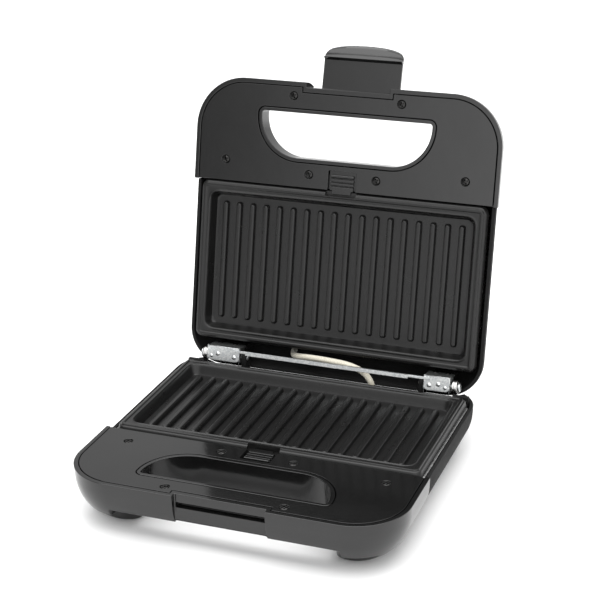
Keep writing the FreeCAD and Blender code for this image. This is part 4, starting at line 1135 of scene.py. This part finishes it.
def make_camera():
    """Camera fitted to the photograph; the last column of its matrix is its place in metres."""
    data = bpy.data.cameras.new("camera")
    data.sensor_width = 36
    data.lens = 94.945
    data.clip_start = 0.05
    data.clip_end = 20
    camera = bpy.data.objects.new("camera", data)
    camera.matrix_world = Matrix((
        (0.9372207, -0.1183661, 0.3280347, 0.35231),
        (0.3484936, 0.3529911, -0.8683027, -0.93096),
        (-0.0130157, 0.9281093, 0.3720804, 0.51632),
        (0, 0, 0, 1)))
    bpy.context.scene.collection.objects.link(camera)
    bpy.context.scene.camera = camera


def area_light(name, place_m, target, size, power):
    data = bpy.data.lights.new(name, "AREA")
    data.energy = power
    data.size = size
    light = bpy.data.objects.new(name, data)
    direction = Vector(target) - Vector(place_m)
    aim = direction.to_track_quat("-Z", "Y").to_matrix().to_4x4()
    light.matrix_world = Matrix.Translation(place_m) @ aim
    bpy.context.scene.collection.objects.link(light)


def make_sky():
    """Even white sky behind; in front it is dark to the left and bright to the right, for the gloss."""
    world = bpy.data.worlds.new("studio")
    bpy.context.scene.world = world
    world.use_nodes = True
    tree = world.node_tree
    background = tree.nodes["Background"]
    place_in_sky = tree.nodes.new("ShaderNodeTexCoord")
    parts = tree.nodes.new("ShaderNodeSeparateXYZ")
    tree.links.new(place_in_sky.outputs["Generated"], parts.inputs["Vector"])

    def rise_along(axis, low, high, dark, light):
        step = tree.nodes.new("ShaderNodeMapRange")
        for socket, value in (("From Min", low), ("From Max", high), ("To Min", dark), ("To Max", light)):
            step.inputs[socket].default_value = value
        tree.links.new(parts.outputs[axis], step.inputs["Value"])
        return step.outputs["Result"]

    blend = tree.nodes.new("ShaderNodeMix")
    tree.links.new(rise_along("Y", -0.6, 0.1, 0.0, 1.0), blend.inputs["Factor"])
    tree.links.new(rise_along("X", -0.43, -0.21, 0.2, 2.2), blend.inputs["A"])
    blend.inputs["B"].default_value = 0.8
    tree.links.new(blend.outputs["Result"], background.inputs["Strength"])
    background.inputs["Color"].default_value = (1, 1, 1, 1)


def make_floor():
    reach = 6
    corners = [(-reach, -reach, 0), (reach, -reach, 0), (reach, reach, 0), (-reach, reach, 0)]
    floor = mesh_object("floor", corners, [(0, 1, 2, 3)])
    pale = Finish("pale_floor", grey(0.9), 0.6)
    pale.colour(pale.noise(3), [(0.3, grey(0.9)), (0.7, grey(0.91))])
    floor.data.materials.append(pale.material)


def make_studio():
    bpy.context.scene.view_settings.view_transform = "Standard"
    make_sky()
    make_floor()
    area_light("overhead", (0, 0.15, 1.7), (0, 0, 0.1), 2.1, 40)
    area_light("front_fill", (-0.9, -1.2, 1.4), (0, 0, 0.15), 0.8, 5)


make_shells()
make_deck("base_deck_plate", BASE, "base", "base_deck")
make_deck("lid_deck_plate", LID, "lid", "lid_deck")
make_screws()
make_plates()
make_tray_edge()
make_catches()
make_latch()
make_latch_pin()
make_brackets()
make_crossbar()
make_rivets()
make_hinge_pins()
make_springs()
make_sleeve()
make_feet()
make_gland()
make_lenses()
finish_cad_nodes()
make_camera()
make_studio()
